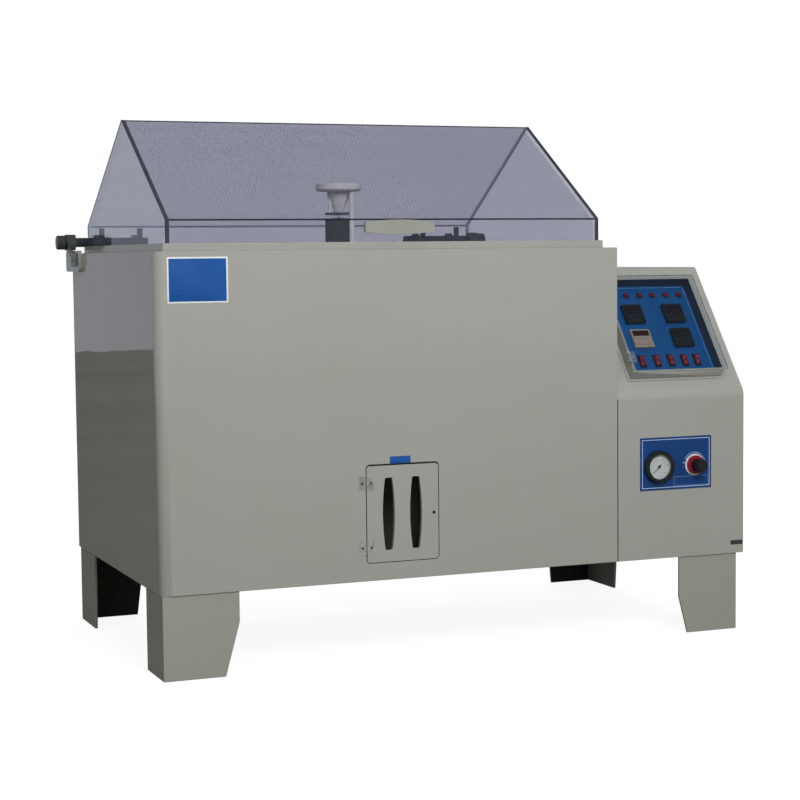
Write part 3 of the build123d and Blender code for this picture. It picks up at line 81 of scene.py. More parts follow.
# Canopy
SHEET_T = 8
CANOPY_INSET = 30
EAVE_Z = 730
RIDGE_Z = 944
SEAT_Z = 647.5
RIDGE_Y = TANK_D / 2

# Access door and its hinges, whose leaves have their outer face LEAF_FACE over the board
DOOR_PIN_X = 427.75
DOOR_HINGE_ZS = (200.2, 69.3)
LEAF_MIDDLE = 9.75
LEAF_FACE = 2.4
OPENING_X = (427, 586.5)
OPENING_Z = (35.8, 236.6)
OPENING_R = 8.5

# Control panel: from the tank's side, up the slope, and heights over the slope
FRAME_X = (42.3, 264.8)
FRAME_UP = (39.5, 290)
FRAME_T = 5
FRAME_H = 28
PANEL_H = 2
COVER_H = (28.3, 31.3)
COVER_X = (42.9, 272.8)
COVER_UP = (39.5, 294)
COVER_R = 3
COVER_HINGE_UPS = (76, 265)
LAMPS = [(72 + 33.2 * i, 259) for i in range(6)]
CONTROLLERS = ((104, 206), (205, 206), (204, 141))
CONTROLLER_H = 11
TIMER = (104.7, 141.5)
TIMER_H = 8
ROCKERS = [(x, 83.5) for x in (86, 123, 157.5, 191, 222)]

# Gauge plate, on the console's front
PLATE_X = (54, 228.5)
PLATE_Z = (148.7, 262)
PLATE_T = 1.5
GAUGE = (98.5, 199.4)
REGULATOR = (186.6, 200)
DIAL_FACE_H = 3.8
WASHER_T = 1.5


def corner(x, y, z):
    """A place in the frame's metres, given in millimetres from the tank's lower front left corner."""
    return TANK_CORNER + Vector((x, y, z)) * MM


def face(origin, right, up):
    """A drawing plane in millimetres: x runs right, y runs up and z comes out of the face."""
    turn = Matrix((right, up, right.cross(up))).transposed().to_4x4()
    return Matrix.Translation(origin) @ turn @ Matrix.Scale(MM, 4)


SLOPE_ANGLE = math.atan2(CONSOLE_TOP_H - CONSOLE_FOOT_H, SLOPE_RUN)
SLOPE_UP = Vector((0, math.cos(SLOPE_ANGLE), math.sin(SLOPE_ANGLE)))
FRONT = face(corner(0, 0, 0), X_AXIS, Z_AXIS)
CONSOLE_FRONT = face(corner(TANK_W, 0, 0), X_AXIS, Z_AXIS)
LEFT = face(corner(0, 0, 0), -Y_AXIS, Z_AXIS)
RIGHT = face(corner(TANK_W, 0, 0), Y_AXIS, Z_AXIS)
SLOPE = face(corner(TANK_W, 0, CONSOLE_FOOT_H), X_AXIS, SLOPE_UP)
SLOPE_OUT = SLOPE.to_3x3().col[2].normalized()
SECTION = face(corner(0, 0, 0), Y_AXIS, Z_AXIS)


# Outlines, as lists of points on a drawing plane
def rounded(middle, width, height, radius, steps=5):
    """A rectangle with round corners."""
    points = []
    for turn, (sx, sy) in enumerate(((1, 1), (-1, 1), (-1, -1), (1, -1))):
        cx = middle[0] + sx * (width / 2 - radius)
        cy = middle[1] + sy * (height / 2 - radius)
        for i in range(steps + 1):
            angle = math.radians(90 * turn + 90 * i / steps)
            points.append((cx + radius * math.cos(angle), cy + radius * math.sin(angle)))
    return points


def between(xs, ys, radius, inset=0):
    """A rounded rectangle between two pairs of limits."""
    middle = ((xs[0] + xs[1]) / 2, (ys[0] + ys[1]) / 2)
    return rounded(middle, xs[1] - xs[0] - 2 * inset, ys[1] - ys[0] - 2 * inset, radius)


def circle(middle, radius, steps=48):
    """A round outline."""
    turns = [2 * math.pi * i / steps for i in range(steps)]
    return [(middle[0] + radius * math.cos(a), middle[1] + radius * math.sin(a)) for a in turns]


# Solids, added to a mesh that is being made
def slab(bm, place, outline, low, high, edge=0.0):
    """A flat piece from one height over the plane to another, with its upper edge eased."""
    lower = [bm.verts.new(place @ Vector((x, y, low))) for x, y in outline]
    upper = [bm.verts.new(place @ Vector((x, y, high))) for x, y in outline]
    count = len(outline)
    bm.faces.new(reversed(lower))
    top = bm.faces.new(upper)
    for i in range(count):
        j = (i + 1) % count
        bm.faces.new((lower[i], lower[j], upper[j], upper[i]))
    if edge:
        rim = list(top.edges)
        bmesh.ops.bevel(bm, geom=rim, offset=edge * MM, segments=2, profile=0.5, affect="EDGES")


def ring(bm, place, outer, inner, low, high):
    """A flat ring between two outlines with the same number of points."""
    loops = []
    for outline, height in ((outer, low), (outer, high), (inner, high), (inner, low)):
        loops.append([bm.verts.new(place @ Vector((x, y, height))) for x, y in outline])
    count = len(outer)
    for a, b in zip(loops, loops[1:] + loops[:1]):
        for i in range(count):
            j = (i + 1) % count
            bm.faces.new((a[i], a[j], b[j], b[i]))


def arc_band(bm, place, middle, radius, width, start, end, low, high, steps=40):
    """A flat curved band round a middle, between two angles in degrees."""
    angles = [math.radians(start + (end - start) * i / steps) for i in range(steps + 1)]
    outer = [(radius + width / 2, a) for a in angles]
    inner = [(radius - width / 2, a) for a in reversed(angles)]
    outline = [(middle[0] + r * math.cos(a), middle[1] + r * math.sin(a)) for r, a in outer + inner]
    slab(bm, place, outline, low, high)


def turned(bm, place, middle, profile, steps=32):
    """A turned form about the plane's normal. Its radius and height pairs start and end on the axis."""
    rows = []
    for radius, height in profile[1:-1]:
        row = [(x, y, height) for x, y in circle(middle, radius, steps)]
        rows.append([bm.verts.new(place @ Vector(p)) for p in row])
    ends = [bm.verts.new(place @ Vector((*middle, profile[i][1]))) for i in (0, -1)]
    for i in range(steps):
        j = (i + 1) % steps
        bm.faces.new((ends[0], rows[0][j], rows[0][i]))
        bm.faces.new((ends[1], rows[-1][i], rows[-1][j]))
        for a, b in zip(rows, rows[1:]):
            bm.faces.new((a[i], a[j], b[j], b[i]))


def rod(bm, start, end, radius, steps=12):
    """A round bar between two places in the frame."""
    along = end - start
    turn = along.to_track_quat("Z", "Y").to_matrix().to_4x4()
    place = Matrix.Translation(start) @ turn @ Matrix.Scale(MM, 4)
    length = along.length / MM
    turned(bm, place, (0, 0), ((0, 0), (radius, 0), (radius, length), (0, length)), steps)


def band(bm, points, xs, proud):
    """A thin open strip laid round the outside of a section, between two distances from the left side."""
    sharpest = 0.3
    offsets = []
    for i, point in enumerate(points):
        before = Vector(points[max(i - 1, 0)])
        after = Vector(points[min(i + 1, len(points) - 1)])
        here = Vector(point)
        sides = [v.normalized() for v in (here - before, after - here) if v.length]
        normals = [Vector((-v.y, v.x)) for v in sides]
        mitre = sum(normals, Vector((0, 0))).normalized()
        offsets.append(here + mitre * proud / max(mitre.dot(normals[0]), sharpest))
    rows = [[bm.verts.new(SECTION @ Vector((p.x, p.y, x))) for p in offsets] for x in xs]
    for i in range(len(points) - 1):
        bm.faces.new((rows[1][i], rows[1][i + 1], rows[0][i + 1], rows[0][i]))


def piece(name, bm, body, material_used):
    """Turn the mesh into an object with that material, which rides on a body."""
    if all(edge.is_manifold for edge in bm.edges):
        bmesh.ops.recalc_face_normals(bm, faces=bm.faces)
    mesh = bpy.data.meshes.new(name)
    bm.to_mesh(mesh)
    bm.free()
    mesh.shade_smooth()
    mesh.set_sharp_from_angle(angle=SHARP_ANGLE)
    mesh.materials.append(material_used)
    made = bpy.data.objects.new(name, mesh)
    bpy.context.scene.collection.objects.link(made)
    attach(made, body)


# Materials. A colour mix has its share and its two colours in these sockets, and its result in MIXED
SHARE, FIRST, SECOND = 0, 6, 7
MIXED = 2
COLOUR_MIX = {"data_type": "RGBA"}
MULTIPLY = {"operation": "MULTIPLY"}
# Nearly all values of a noise lie between these
NOISE_LOW = 0.3
NOISE_HIGH = 0.7
# The distance at which a wave texture of scale one repeats
WAVE_PERIOD = math.pi / 10

# Streaks in the canopy's front slope: pitch in millimetres, lean in radians, and places in the frame
STREAK_PITCH = 8
STREAK_LEAN = -0.17
STREAK_FULL_X = -0.12
STREAK_RIGHT_SHARE = 0.25
STREAK_FOOT_Z = TANK_CORNER.z + EAVE_Z * MM
STREAK_FADE = 0.015
STREAK_PATCH = 160
STREAK_THINNESS = 2.5

COAT_ROUGHNESS = 0.08
SHEET_WAVES = ((300, 0.25), (60, 0.02))
SHADOW_TINT = "#F8F8FA"
SHEET_INSIDE = "#B4B6C2"


def colour(hex_value):
    """A written sRGB colour as the linear values that shaders take."""
    parts = [int(hex_value[i : i + 2], 16) / 255 for i in (1, 3, 5)]
    return (*[c / 12.92 if c <= 0.04045 else ((c + 0.055) / 1.055) ** 2.4 for c in parts], 1)


def add(tree, kind, settings=None, links=None):
    """Add a node with its own settings. Links give its sockets a value or another node's output."""
    made = tree.nodes.new("ShaderNode" + kind)
    for key, value in (settings or {}).items():
        setattr(made, key, value)
    for key, value in (links or {}).items():
        if isinstance(value, bpy.types.NodeSocket):
            tree.links.new(value, made.inputs[key])
        else:
            made.inputs[key].default_value = value
    return made


def material(name):
    """An empty material: its node tree and its output node."""
    made = bpy.data.materials.new(name)
    made.use_nodes = True
    made.node_tree.nodes.clear()
    return made, made.node_tree, add(made.node_tree, "OutputMaterial")


def per_metre(millimetres):
    """A texture scale at which the pattern repeats about once in that many millimetres."""
    return 1000 / millimetres


def speckle(tree, size, low, high, detail=2):
    """A noise of spots of a size in millimetres, spread between two values."""
    place = add(tree, "TexCoord").outputs["Object"]
    pattern = {"Vector": place, "Scale": per_metre(size), "Detail": detail}
    noise = add(tree, "TexNoise", None, pattern).outputs["Fac"]
    spread = {"Value": noise, "From Min": NOISE_LOW, "From Max": NOISE_HIGH, "To Min": low, "To Max": high}
    return add(tree, "MapRange", None, spread).outputs["Result"]


def stained(tree, first, second, size, detail=3):
    """Two colours that blend into each other in soft patches of a size in millimetres."""
    share = speckle(tree, size, 0, 1, detail)
    links = {SHARE: share, FIRST: colour(first), SECOND: colour(second)}
    return add(tree, "Mix", COLOUR_MIX, links).outputs[MIXED]


def relief(tree, layers):
    """A bump from noises, each with its size and its height in millimetres."""
    total = None
    for size, height in layers:
        wave = speckle(tree, size, 0, height)
        if total is None:
            total = wave
        else:
            total = add(tree, "Math", {"operation": "ADD"}, {0: total, 1: wave}).outputs[0]
    return add(tree, "Bump", None, {"Height": total, "Distance": MM, "Strength": 1.0}).outputs["Normal"]


def finish(name, first, second, patch, roughness, layers, ior=1.5, metallic=0.0, coat=0.0):
    """A solid finish: two near tones in patches, a roughness that varies a little, and a fine relief."""
    made, tree, out = material(name)
    links = {
        "Base Color": stained(tree, first, second, patch),
        "Roughness": speckle(tree, patch / 3, *roughness),
        "Metallic": metallic,
        "Normal": relief(tree, layers),
    }
    shader = add(tree, "BsdfPrincipled", None, links)
    if not metallic:
        shader.inputs["IOR"].default_value = ior
    if coat:
        shader.inputs["Coat Weight"].default_value = coat
        shader.inputs["Coat Roughness"].default_value = COAT_ROUGHNESS
    tree.links.new(shader.outputs[0], out.inputs["Surface"])
    return made


def two_tone(name, axis, limit, low_colour, high_colour, roughness):
    """A finish whose colour changes at a limit along one axis of the frame, in metres."""
    made, tree, out = material(name)
    place = add(tree, "SeparateXYZ", None, {0: add(tree, "TexCoord").outputs["Object"]})
    past = add(tree, "Math", {"operation": "GREATER_THAN"}, {0: place.outputs[axis], 1: limit}).outputs[0]
    tones = {SHARE: past, FIRST: colour(low_colour), SECOND: colour(high_colour)}
    links = {
        "Base Color": add(tree, "Mix", COLOUR_MIX, tones).outputs[MIXED],
        "Roughness": speckle(tree, 8, *roughness),
        "Normal": relief(tree, ((2, 0.006),)),
    }
    shader = add(tree, "BsdfPrincipled", None, links)
    tree.links.new(shader.outputs[0], out.inputs["Surface"])
    return made


def streaked(tree, low, high):
    """Rubbed streaks on the front slope, like fine wood grain: near upright, and strong at the left."""
    place = add(tree, "TexCoord").outputs["Object"]
    leaning = add(tree, "Mapping", None, {"Vector": place, "Rotation": (0, STREAK_LEAN, 0)})
    grain = {
        "Vector": leaning.outputs[0],
        "Scale": WAVE_PERIOD / (STREAK_PITCH * MM),
        "Distortion": 7.0,
        "Detail": 1.0,
        "Detail Scale": 0.07,
    }
    waves = add(tree, "TexWave", {"wave_type": "BANDS", "bands_direction": "X"}, grain)
    thin = add(tree, "Math", {"operation": "POWER"}, {0: waves.outputs["Fac"], 1: STREAK_THINNESS})
    patches = speckle(tree, STREAK_PATCH, 0.25, 1, 1)
    strength = add(tree, "Math", MULTIPLY, {0: thin.outputs[0], 1: patches}).outputs[0]
    along = add(tree, "SeparateXYZ", None, {0: place}).outputs
    fades = (
        {"Value": along["X"], "From Min": 0.0, "From Max": STREAK_FULL_X, "To Min": STREAK_RIGHT_SHARE},
        {"Value": along["Y"], "From Min": 0.0, "From Max": -STREAK_FADE},
        {"Value": along["Z"], "From Min": STREAK_FOOT_Z, "From Max": STREAK_FOOT_Z + STREAK_FADE},
    )
    for fade in fades:
        share = add(tree, "MapRange", None, fade).outputs["Result"]
        strength = add(tree, "Math", MULTIPLY, {0: strength, 1: share}).outputs[0]
    spread = {"Value": strength, "To Min": low, "To Max": high}
    return add(tree, "MapRange", None, spread).outputs["Result"]


def clear_sheet(name, tint, haze, haze_share, gloss, ior=1.49, streaks=0.0):
    """Clear or tinted sheet: it mirrors by its angle, tints on the way in, and carries a thin haze."""
    made, tree, out = material(name)
    shade = add(tree, "LightPath").outputs["Is Shadow Ray"]
    tones = {SHARE: shade, FIRST: colour(tint), SECOND: colour(SHADOW_TINT)}
    tinted = add(tree, "Mix", COLOUR_MIX, tones).outputs[MIXED]
    through = add(tree, "BsdfTransparent", None, {"Color": tinted})
    plain = add(tree, "BsdfTransparent")
    mirror = add(tree, "BsdfGlossy", None, {"Roughness": gloss, "Normal": relief(tree, SHEET_WAVES)})
    film = add(tree, "BsdfDiffuse", None, {"Color": colour(haze)})
    share = streaked(tree, haze_share, haze_share + streaks) if streaks else haze_share
    hazed = add(tree, "MixShader", None, {0: share, 1: through.outputs[0], 2: film.outputs[0]})
    fresnel = add(tree, "Fresnel", None, {"IOR": ior})
    shine = add(tree, "MixShader", None, {0: fresnel.outputs[0], 1: hazed.outputs[0], 2: mirror.outputs[0]})
    inside = add(tree, "NewGeometry").outputs["Backfacing"]
    both = add(tree, "MixShader", None, {0: inside, 1: shine.outputs[0], 2: plain.outputs[0]})
    tree.links.new(both.outputs[0], out.inputs["Surface"])
    return made


def outer_skin(name, first, second, patch, roughness):
    """A sheet's sawn edge: dark seen from outside, and clear seen from inside the sheet."""
    made = finish(name, first, second, patch, roughness, ((3, 0.05), (1, 0.02)))
    tree = made.node_tree
    out = next(node for node in tree.nodes if node.type == "OUTPUT_MATERIAL")
    solid = out.inputs["Surface"].links[0].from_socket
    inside = add(tree, "NewGeometry").outputs["Backfacing"]
    clear = add(tree, "BsdfTransparent", None, {"Color": colour(SHEET_INSIDE)})
    both = add(tree, "MixShader", None, {0: inside, 1: solid, 2: clear.outputs[0]})
    tree.links.new(both.outputs[0], out.inputs["Surface"])
    return made


# Each finish: two tones, patch size, roughness from and to, relief layers by size and height
PVC_IOR = 1.54
ABS_IOR = 1.53
ACRYLIC_IOR = 1.49
GLASS_IOR = 1.52
PYREX_IOR = 1.47
BOARD_RELIEF = ((260, 0.10), (45, 0.008), (4, 0.001))
LINER_RELIEF = ((60, 0.05), (3, 0.01))
PRINT_RELIEF = ((12, 0.01), (1.2, 0.003))

# Rigid PVC board, pressed between polished plates: an even warm grey with a wet gloss
pvc_board = finish("grey_rigid_pvc_board", "#94948F", "#91928B", 380, (0.07, 0.12), BOARD_RELIEF, PVC_IOR)
# The long sides keep the pressed sheet's full polish: they mirror what lies round them, slightly bent
POLISH_WAVES = ((330, 0.25),)
polished_board = finish(
    "polished_pvc_board", "#94948F", "#91928B", 380, (0.012, 0.03), POLISH_WAVES, PVC_IOR
)
# The legs' board is a touch duller and more handled
leg_board = finish(
    "grey_pvc_board_of_legs", "#8F9088", "#8A8B82", 240, (0.14, 0.22), BOARD_RELIEF, PVC_IOR
)
# Inside the tank: matt, a shade darker, with faint clouds of salt film
liner_board = finish(
    "grey_matt_pvc_liner", "#8B8C86", "#83847E", 200, (0.3, 0.42), LINER_RELIEF, PVC_IOR
)
# Painted shade on the legs' inner faces: near black, dull and uneven, where shade falls under the body
leg_shade_paint = finish("painted_shade_of_leg_insides", "#1E211C", "#272A24", 60, (0.5, 0.7), ((8, 0.08), (2, 0.03)))
# The handle's board, milled round: a little greener and silky
handle_board = finish(
    "pale_grey_pvc_handle", "#8B8D84", "#878980", 90, (0.16, 0.24), ((40, 0.02), (3, 0.004)), PVC_IOR
)
# Smoke-tinted acrylic of the roof: violet grey, with rubbed streaks on its front slope
canopy_sheet = clear_sheet(
    "smoke_tinted_acrylic", "#C2C3CD", "#8A8FA2", 0.05, 0.03, ACRYLIC_IOR, streaks=0.24
)
# The end plates: the same smoke acrylic made paler, a painted reflection of the bright room that they mirror,
# with a milky haze
canopy_end_sheet = clear_sheet("smoke_tinted_acrylic_of_ends", "#D2D3DB", "#A6AABA", 0.07, 0.03)
# Clear hinges: hardly to be seen on the grey board but for a soft glint
clear_acrylic = clear_sheet("clear_acrylic", "#FCFDFD", "#DCDEDE", 0.10, 0.08, 1.3)
# The panel's cover takes a little light away and is cool in tone
cover_acrylic = clear_sheet("faintly_tinted_acrylic_cover", "#E2E6EA", "#9FA6AD", 0.005, 0.03)
# Laboratory glass, greenish and dim with dried salt
lab_glass = clear_sheet("borosilicate_glass", "#E6F0EA", "#9CB2A3", 0.5, 0.02, PYREX_IOR)
# The gauge's window: clear, with a faint grey veil
lens_glass = clear_sheet("gauge_lens_glass", "#F4F7F7", "#C8CCCC", 0.02, 0.02, GLASS_IOR)
# Sawn and glued edges of the acrylic, dark with trapped shadow
sawn_edge = outer_skin("sawn_acrylic_edge", "#2E3038", "#41434D", 14, (0.3, 0.5))
glue_line = finish("dark_glue_line", "#1E2030", "#2A2C3A", 30, (0.3, 0.4), ((6, 0.02),))
# The cover's flame-polished edge, grey green, with a painted highlight that makes it bright
edge_painted_highlight = finish("painted_highlight_on_cover_edge", "#A9B4B8", "#8E999E", 25, (0.08, 0.16), ((10, 0.01),))

# Extruded pipe, dark slate grey with a soft sheen
dark_pipe = finish(
    "dark_grey_pvc_pipe", "#3B4042", "#343A3B", 60, (0.25, 0.35), ((30, 0.02), (2, 0.006)), PVC_IOR
)
# Milky white turned plastic of the tower's cap
white_plastic = finish(
    "milky_polypropylene", "#FAFAF4", "#F4F4EC", 40, (0.3, 0.4), ((20, 0.03), (2, 0.006))
)
# Rack bars with a pale grey coat
bar_plastic = finish("pale_coated_bar", "#B4B6B4", "#A9ABA8", 60, (0.3, 0.4), ((20, 0.02),))
# Moulded black cases with a fine grain, and polished black parts
black_plastic = finish("black_moulded_abs", "#15181A", "#1C2022", 12, (0.38, 0.5), ((0.9, 0.012),), ABS_IOR)
black_gloss = finish("black_polished_abs", "#0E0F10", "#131416", 12, (0.12, 0.2), ((4, 0.004),), ABS_IOR)
# The timer's sand-coloured case and its faded pinkish keys
timer_plastic = finish("beige_moulded_abs", "#8F8979", "#868070", 15, (0.35, 0.45), ((0.9, 0.01),), ABS_IOR)
key_plastic = finish("pale_pink_beige_key", "#A48F82", "#988376", 6, (0.35, 0.45), ((0.9, 0.01),), ABS_IOR)
# Unlit pilot lamps: deep red and glassy
red_lens = finish(
    "dark_red_lamp_lens", "#74161C", "#4A0D12", 4, (0.08, 0.16), ((1.5, 0.05),), ACRYLIC_IOR, coat=0.6
)
# Unlit red rockers, smooth with a wet gloss
red_rocker = finish(
    "dark_red_rocker", "#7A161B", "#641116", 9, (0.16, 0.26), ((2, 0.006),), ABS_IOR, coat=0.4
)
# Displays that are off: smoked black windows and dark red digits
display_glass = finish("dark_display_window", "#0C0D0F", "#15161A", 14, (0.05, 0.1), ((30, 0.004),))
display_red = finish("dark_red_display", "#3C1114", "#2B0C0F", 6, (0.1, 0.18), ((20, 0.004),))

# Screen-printed faces: strong blue panel, darker blue plate, blue vinyl labels with a white border
panel_blue = finish("printed_blue_panel", "#04508A", "#04487E", 90, (0.3, 0.4), PRINT_RELIEF)
plate_blue = finish("printed_dark_blue_plate", "#0B3A74", "#093366", 50, (0.3, 0.42), PRINT_RELIEF)
label_blue = finish("blue_vinyl_label", "#0C4C92", "#0A4484", 70, (0.32, 0.42), ((18, 0.006), (2, 0.002)))
label_white = finish("white_vinyl_border", "#D2D6D6", "#C6CACB", 60, (0.3, 0.4), ((18, 0.02),))
# Printed lines and marks, each a little worn
print_pale = finish("pale_blue_print", "#A7B8D4", "#98AAC8", 20, (0.4, 0.5), ((5, 0.004),))
print_line = finish("worn_pale_line", "#6F8FB4", "#5F7FA6", 12, (0.4, 0.5), ((5, 0.004),))
print_dark = finish("black_dial_print", "#1A1C1E", "#242628", 5, (0.5, 0.6), ((3, 0.003),))
print_red = finish("red_dial_print", "#9C2A24", "#8C241F", 5, (0.5, 0.6), ((3, 0.003),))
mark_pale = finish("pale_switch_mark", "#C08A6C", "#B07C60", 3, (0.4, 0.5), ((2, 0.003),))
key_mark = finish("grey_key_mark", "#5B6163", "#4C5254", 3, (0.4, 0.5), ((2, 0.003),))
# The dial: silvery white sheet
dial_white = finish("silver_white_dial", "#C3C8C6", "#B5BAB8", 12, (0.3, 0.4), ((6, 0.004),))
sticker_dark = finish("dark_printed_sticker", "#3A3C36", "#2C2E29", 5, (0.3, 0.45), ((4, 0.006),))
# Painted shade in the well round the panel: navy on its inner walls, standing for their shade and the blue
# they mirror
well_painted_shade = finish("painted_shade_in_well", "#2B3745", "#323E4C", 40, (0.35, 0.45), ((9, 0.02), (1.5, 0.004)))
# Painted shade in joints, gaps and screw recesses, and the grey bead that seals the trough's lip
recess_painted_shade = finish("painted_shade_in_recesses", "#2E302C", "#383A35", 30, (0.6, 0.7), ((6, 0.02),))
sealant = finish("grey_sealant_bead", "#8A8C86", "#7E807A", 20, (0.35, 0.5), ((7, 0.12), (2, 0.02)))
# Metals: bright screws, a lock darkened with painted shade for its keyhole recess, brushed straps and a
# rolled barrel
chrome = finish("chromed_steel", "#D9DBDC", "#CDD0D2", 6, (0.08, 0.16), ((2, 0.003),), metallic=1.0)
# The lock's steel is darkened as painted shade for its keyhole recess
lock_steel_painted_shade = finish("lock_steel_darkened_as_painted_shade", "#55524E", "#45423E", 3, (0.3, 0.42), ((0.8, 0.006),), metallic=1.0)
steel_strap = finish(
    "brushed_stainless_strap", "#A5A8A4", "#989B97", 10, (0.38, 0.5), ((1.2, 0.006),), metallic=1.0
)
steel_plain = finish(
    "rolled_stainless_sheet", "#A9ACAD", "#9FA2A4", 60, (0.25, 0.35), ((30, 0.03),), metallic=1.0
)
# The regulator's dark red collar and the white washer behind it are one solid
WASHER_EASE = 0.2
washer_front = TANK_CORNER.y - (PLATE_T + WASHER_T + WASHER_EASE) * MM
regulator_mix = two_tone(
    "red_collar_on_white_washer", "Y", washer_front, "#7C1222", "#C9CDCF", (0.25, 0.35)
)

# What each construction piece is made of
FINISHES = {
    polished_board: "side_panels",
    pvc_board: "front_panel back_panel base_panel seal_trough console_housing panel_frame access_door "
    "hinge_blocks",
    leg_board: "front_legs rear_legs",
    liner_board: "tank_liner cylinder_niche rack_rails rear_ports",
    canopy_sheet: "canopy_front_wall canopy_front_slope canopy_rear_slope canopy_rear_wall",
    canopy_end_sheet: "canopy_ends",
    clear_acrylic: "small_hinge_mounts door_hinge_leaves cover_hinge_leaves",
    cover_acrylic: "panel_cover",
    lab_glass: "measuring_cylinders collector_funnels spray_nozzle",
    lens_glass: "gauge_lens",
    handle_board: "canopy_handle",
    dark_pipe: "spray_tower hinge_rods baffle_disc",
    white_plastic: "tower_cap",
    bar_plastic: "rack_bars",
    steel_strap: "rod_clips hinge_brackets heater_tube",
    steel_plain: "saturator_barrel",
    lock_steel_painted_shade: "door_lock",
    black_plastic: "panel_controllers rocker_bezels gauge_case regulator_knob",
    black_gloss: "gauge_needle",
    timer_plastic: "preset_timer",
    key_plastic: "timer_key_1 timer_key_2 timer_key_3 timer_key_4 timer_key_5",
    red_lens: "pilot_lamps",
    red_rocker: "rocker_1 rocker_2 rocker_3 rocker_4 rocker_5",
    regulator_mix: "regulator_body",
    panel_blue: "control_panel",
    plate_blue: "gauge_plate",
    dial_white: "gauge_dial",
}
for finish_used, names in FINISHES.items():
    for name in names.split():
        nodes[name].data.materials.clear()
        nodes[name].data.materials.append(finish_used)

# Boards have their sharp edges eased, in millimetres, which gives the fine light lines along them
EASED = {
    "front_panel": 1.2,
    "side_panels": 1.2,
    "seal_trough": 1.0,
    "panel_frame": 0.6,
    "access_door": 0.8,
    "front_legs": 1.0,
    "rear_legs": 1.0,
    "gauge_plate": 0.3,
    "canopy_handle": 1.5,
}
WELD_GAP = 0.01 * MM
EASED_ANGLE = math.radians(40)
for name, width in EASED.items():
    weld = nodes[name].modifiers.new("weld", "WELD")
    weld.merge_threshold = WELD_GAP
    eased = nodes[name].modifiers.new("eased_edges", "BEVEL")
    eased.width = width * MM
    eased.segments = 2
    eased.limit_method = "ANGLE"
    eased.angle_limit = EASED_ANGLE


def shown(name, body, material_used, make):
    """Make one piece with a function that fills its mesh."""
    bm = bmesh.new()
    make(bm)
    piece(name, bm, body, material_used)


DOME_STEPS = 5
HEAD_RIM = 0.25
CROSS_DEPTH = 0.45


def screws(name, body, place, spots, radius, height=1.1):
    """Dome-headed screws on a plane, and dark crosses in their heads: painted shade in the recesses."""
    heads = bmesh.new()
    crosses = bmesh.new()
    reach = radius
    thin = radius * 0.22
    for x, y, base in spots:
        rim = base + HEAD_RIM
        top = rim + height
        dome = [(0, base), (radius, base)]
        for i in range(DOME_STEPS):
            angle = math.radians(90 * i / DOME_STEPS)
            dome.append((radius * math.cos(angle), rim + height * math.sin(angle)))
        dome.append((0, top))
        turned(heads, place, (x, y), dome, 20)
        # Painted shade: dark crosses standing for the hollows of the recesses
        for width, length in ((reach, thin), (thin, reach)):
            outline = rounded((x, y), width, length, 0.2 * thin, 2)
            slab(crosses, place, outline, top - CROSS_DEPTH * height, top + 0.02)
    piece(name, heads, body, chrome)
    piece(name + "_recesses", crosses, body, recess_painted_shade)


# Canopy: sawn edges round both end plates, and the dark glue lines
END_SECTION = (
    (CANOPY_INSET, SEAT_Z),
    (CANOPY_INSET, EAVE_Z),
    (RIDGE_Y, RIDGE_Z),
    (TANK_D - CANOPY_INSET, EAVE_Z),
    (TANK_D - CANOPY_INSET, SEAT_Z),
)
EDGE_PROUD = 0.3
# Glue lines from end to end: their y, z and radius
LONG_GLUE = (
    (CANOPY_INSET - 0.2, EAVE_Z - 0.4, 1.7),
    (RIDGE_Y, RIDGE_Z - 1.2, 1.2),
    (TANK_D - CANOPY_INSET, EAVE_Z - 0.4, 0.7),
)
# Glue lines along the end plates: their x, and their radius on the front half
END_GLUE = ((CANOPY_INSET + 0.6, 1.1), (TANK_W - CANOPY_INSET - 0.6, 1.4))
REAR_GLUE_R = 1.0


def canopy_edges(bm):
    for left in (CANOPY_INSET, TANK_W - CANOPY_INSET - SHEET_T):
        band(bm, END_SECTION, (left, left + SHEET_T), EDGE_PROUD)


def canopy_glue(bm):
    left = CANOPY_INSET + SHEET_T
    right = TANK_W - CANOPY_INSET - SHEET_T
    for y, z, radius in LONG_GLUE:
        rod(bm, corner(left, y, z), corner(right, y, z), radius)
    for x, front_radius in END_GLUE:
        for (y0, z0), (y1, z1) in zip(END_SECTION, END_SECTION[1:]):
            radius = front_radius if y0 < RIDGE_Y else REAR_GLUE_R
            rod(bm, corner(x, y0, z0), corner(x, y1, z1), radius, 8)


shown("canopy_edge_strips", "canopy", sawn_edge, canopy_edges)
shown("canopy_glue_lines", "canopy", glue_line, canopy_glue)

# Labels and a small sticker, left bare. The large label is a white vinyl with a blue field
LABEL = between((23.6, 145.4), (568.7, 657.8), 1.5)
LABEL_FIELD = between((23.6, 145.4), (568.7, 657.8), 0.8, 3.2)
SMALL_LABEL = between((479, 524.4), (237.2, 251.5), 1.5)
STICKER = between((278.7, 309.2), (18.5, 28), 0.6)


def label(name, material_used, place, outline, heights, edge):
    """A thin label stuck flat on a board."""
    shown(name, "chamber", material_used, lambda bm: slab(bm, place, outline, *heights, edge))


label("large_label_border", label_white, FRONT, LABEL, (0, 0.25), 0.05)
label("large_label", label_blue, FRONT, LABEL_FIELD, (0.2, 0.35), 0.04)
label("small_label", label_blue, FRONT, SMALL_LABEL, (0, 0.3), 0.05)
label("small_sticker", sticker_dark, CONSOLE_FRONT, STICKER, (0, 0.25), 0.04)

# Joints between boards: painted shade in the gaps round the door and beside the console, and the trough's
# weld bead
JOINT_X = (TANK_W - 0.6, TANK_W + 1.4)
JOINT_Z = (1, CONSOLE_FOOT_H - 8)
GAP_DEPTH = (-5, -0.4)
BEAD_R = 1.2
BEAD_INSET = 22.4
BEAD_Z = BODY_H + 0.2


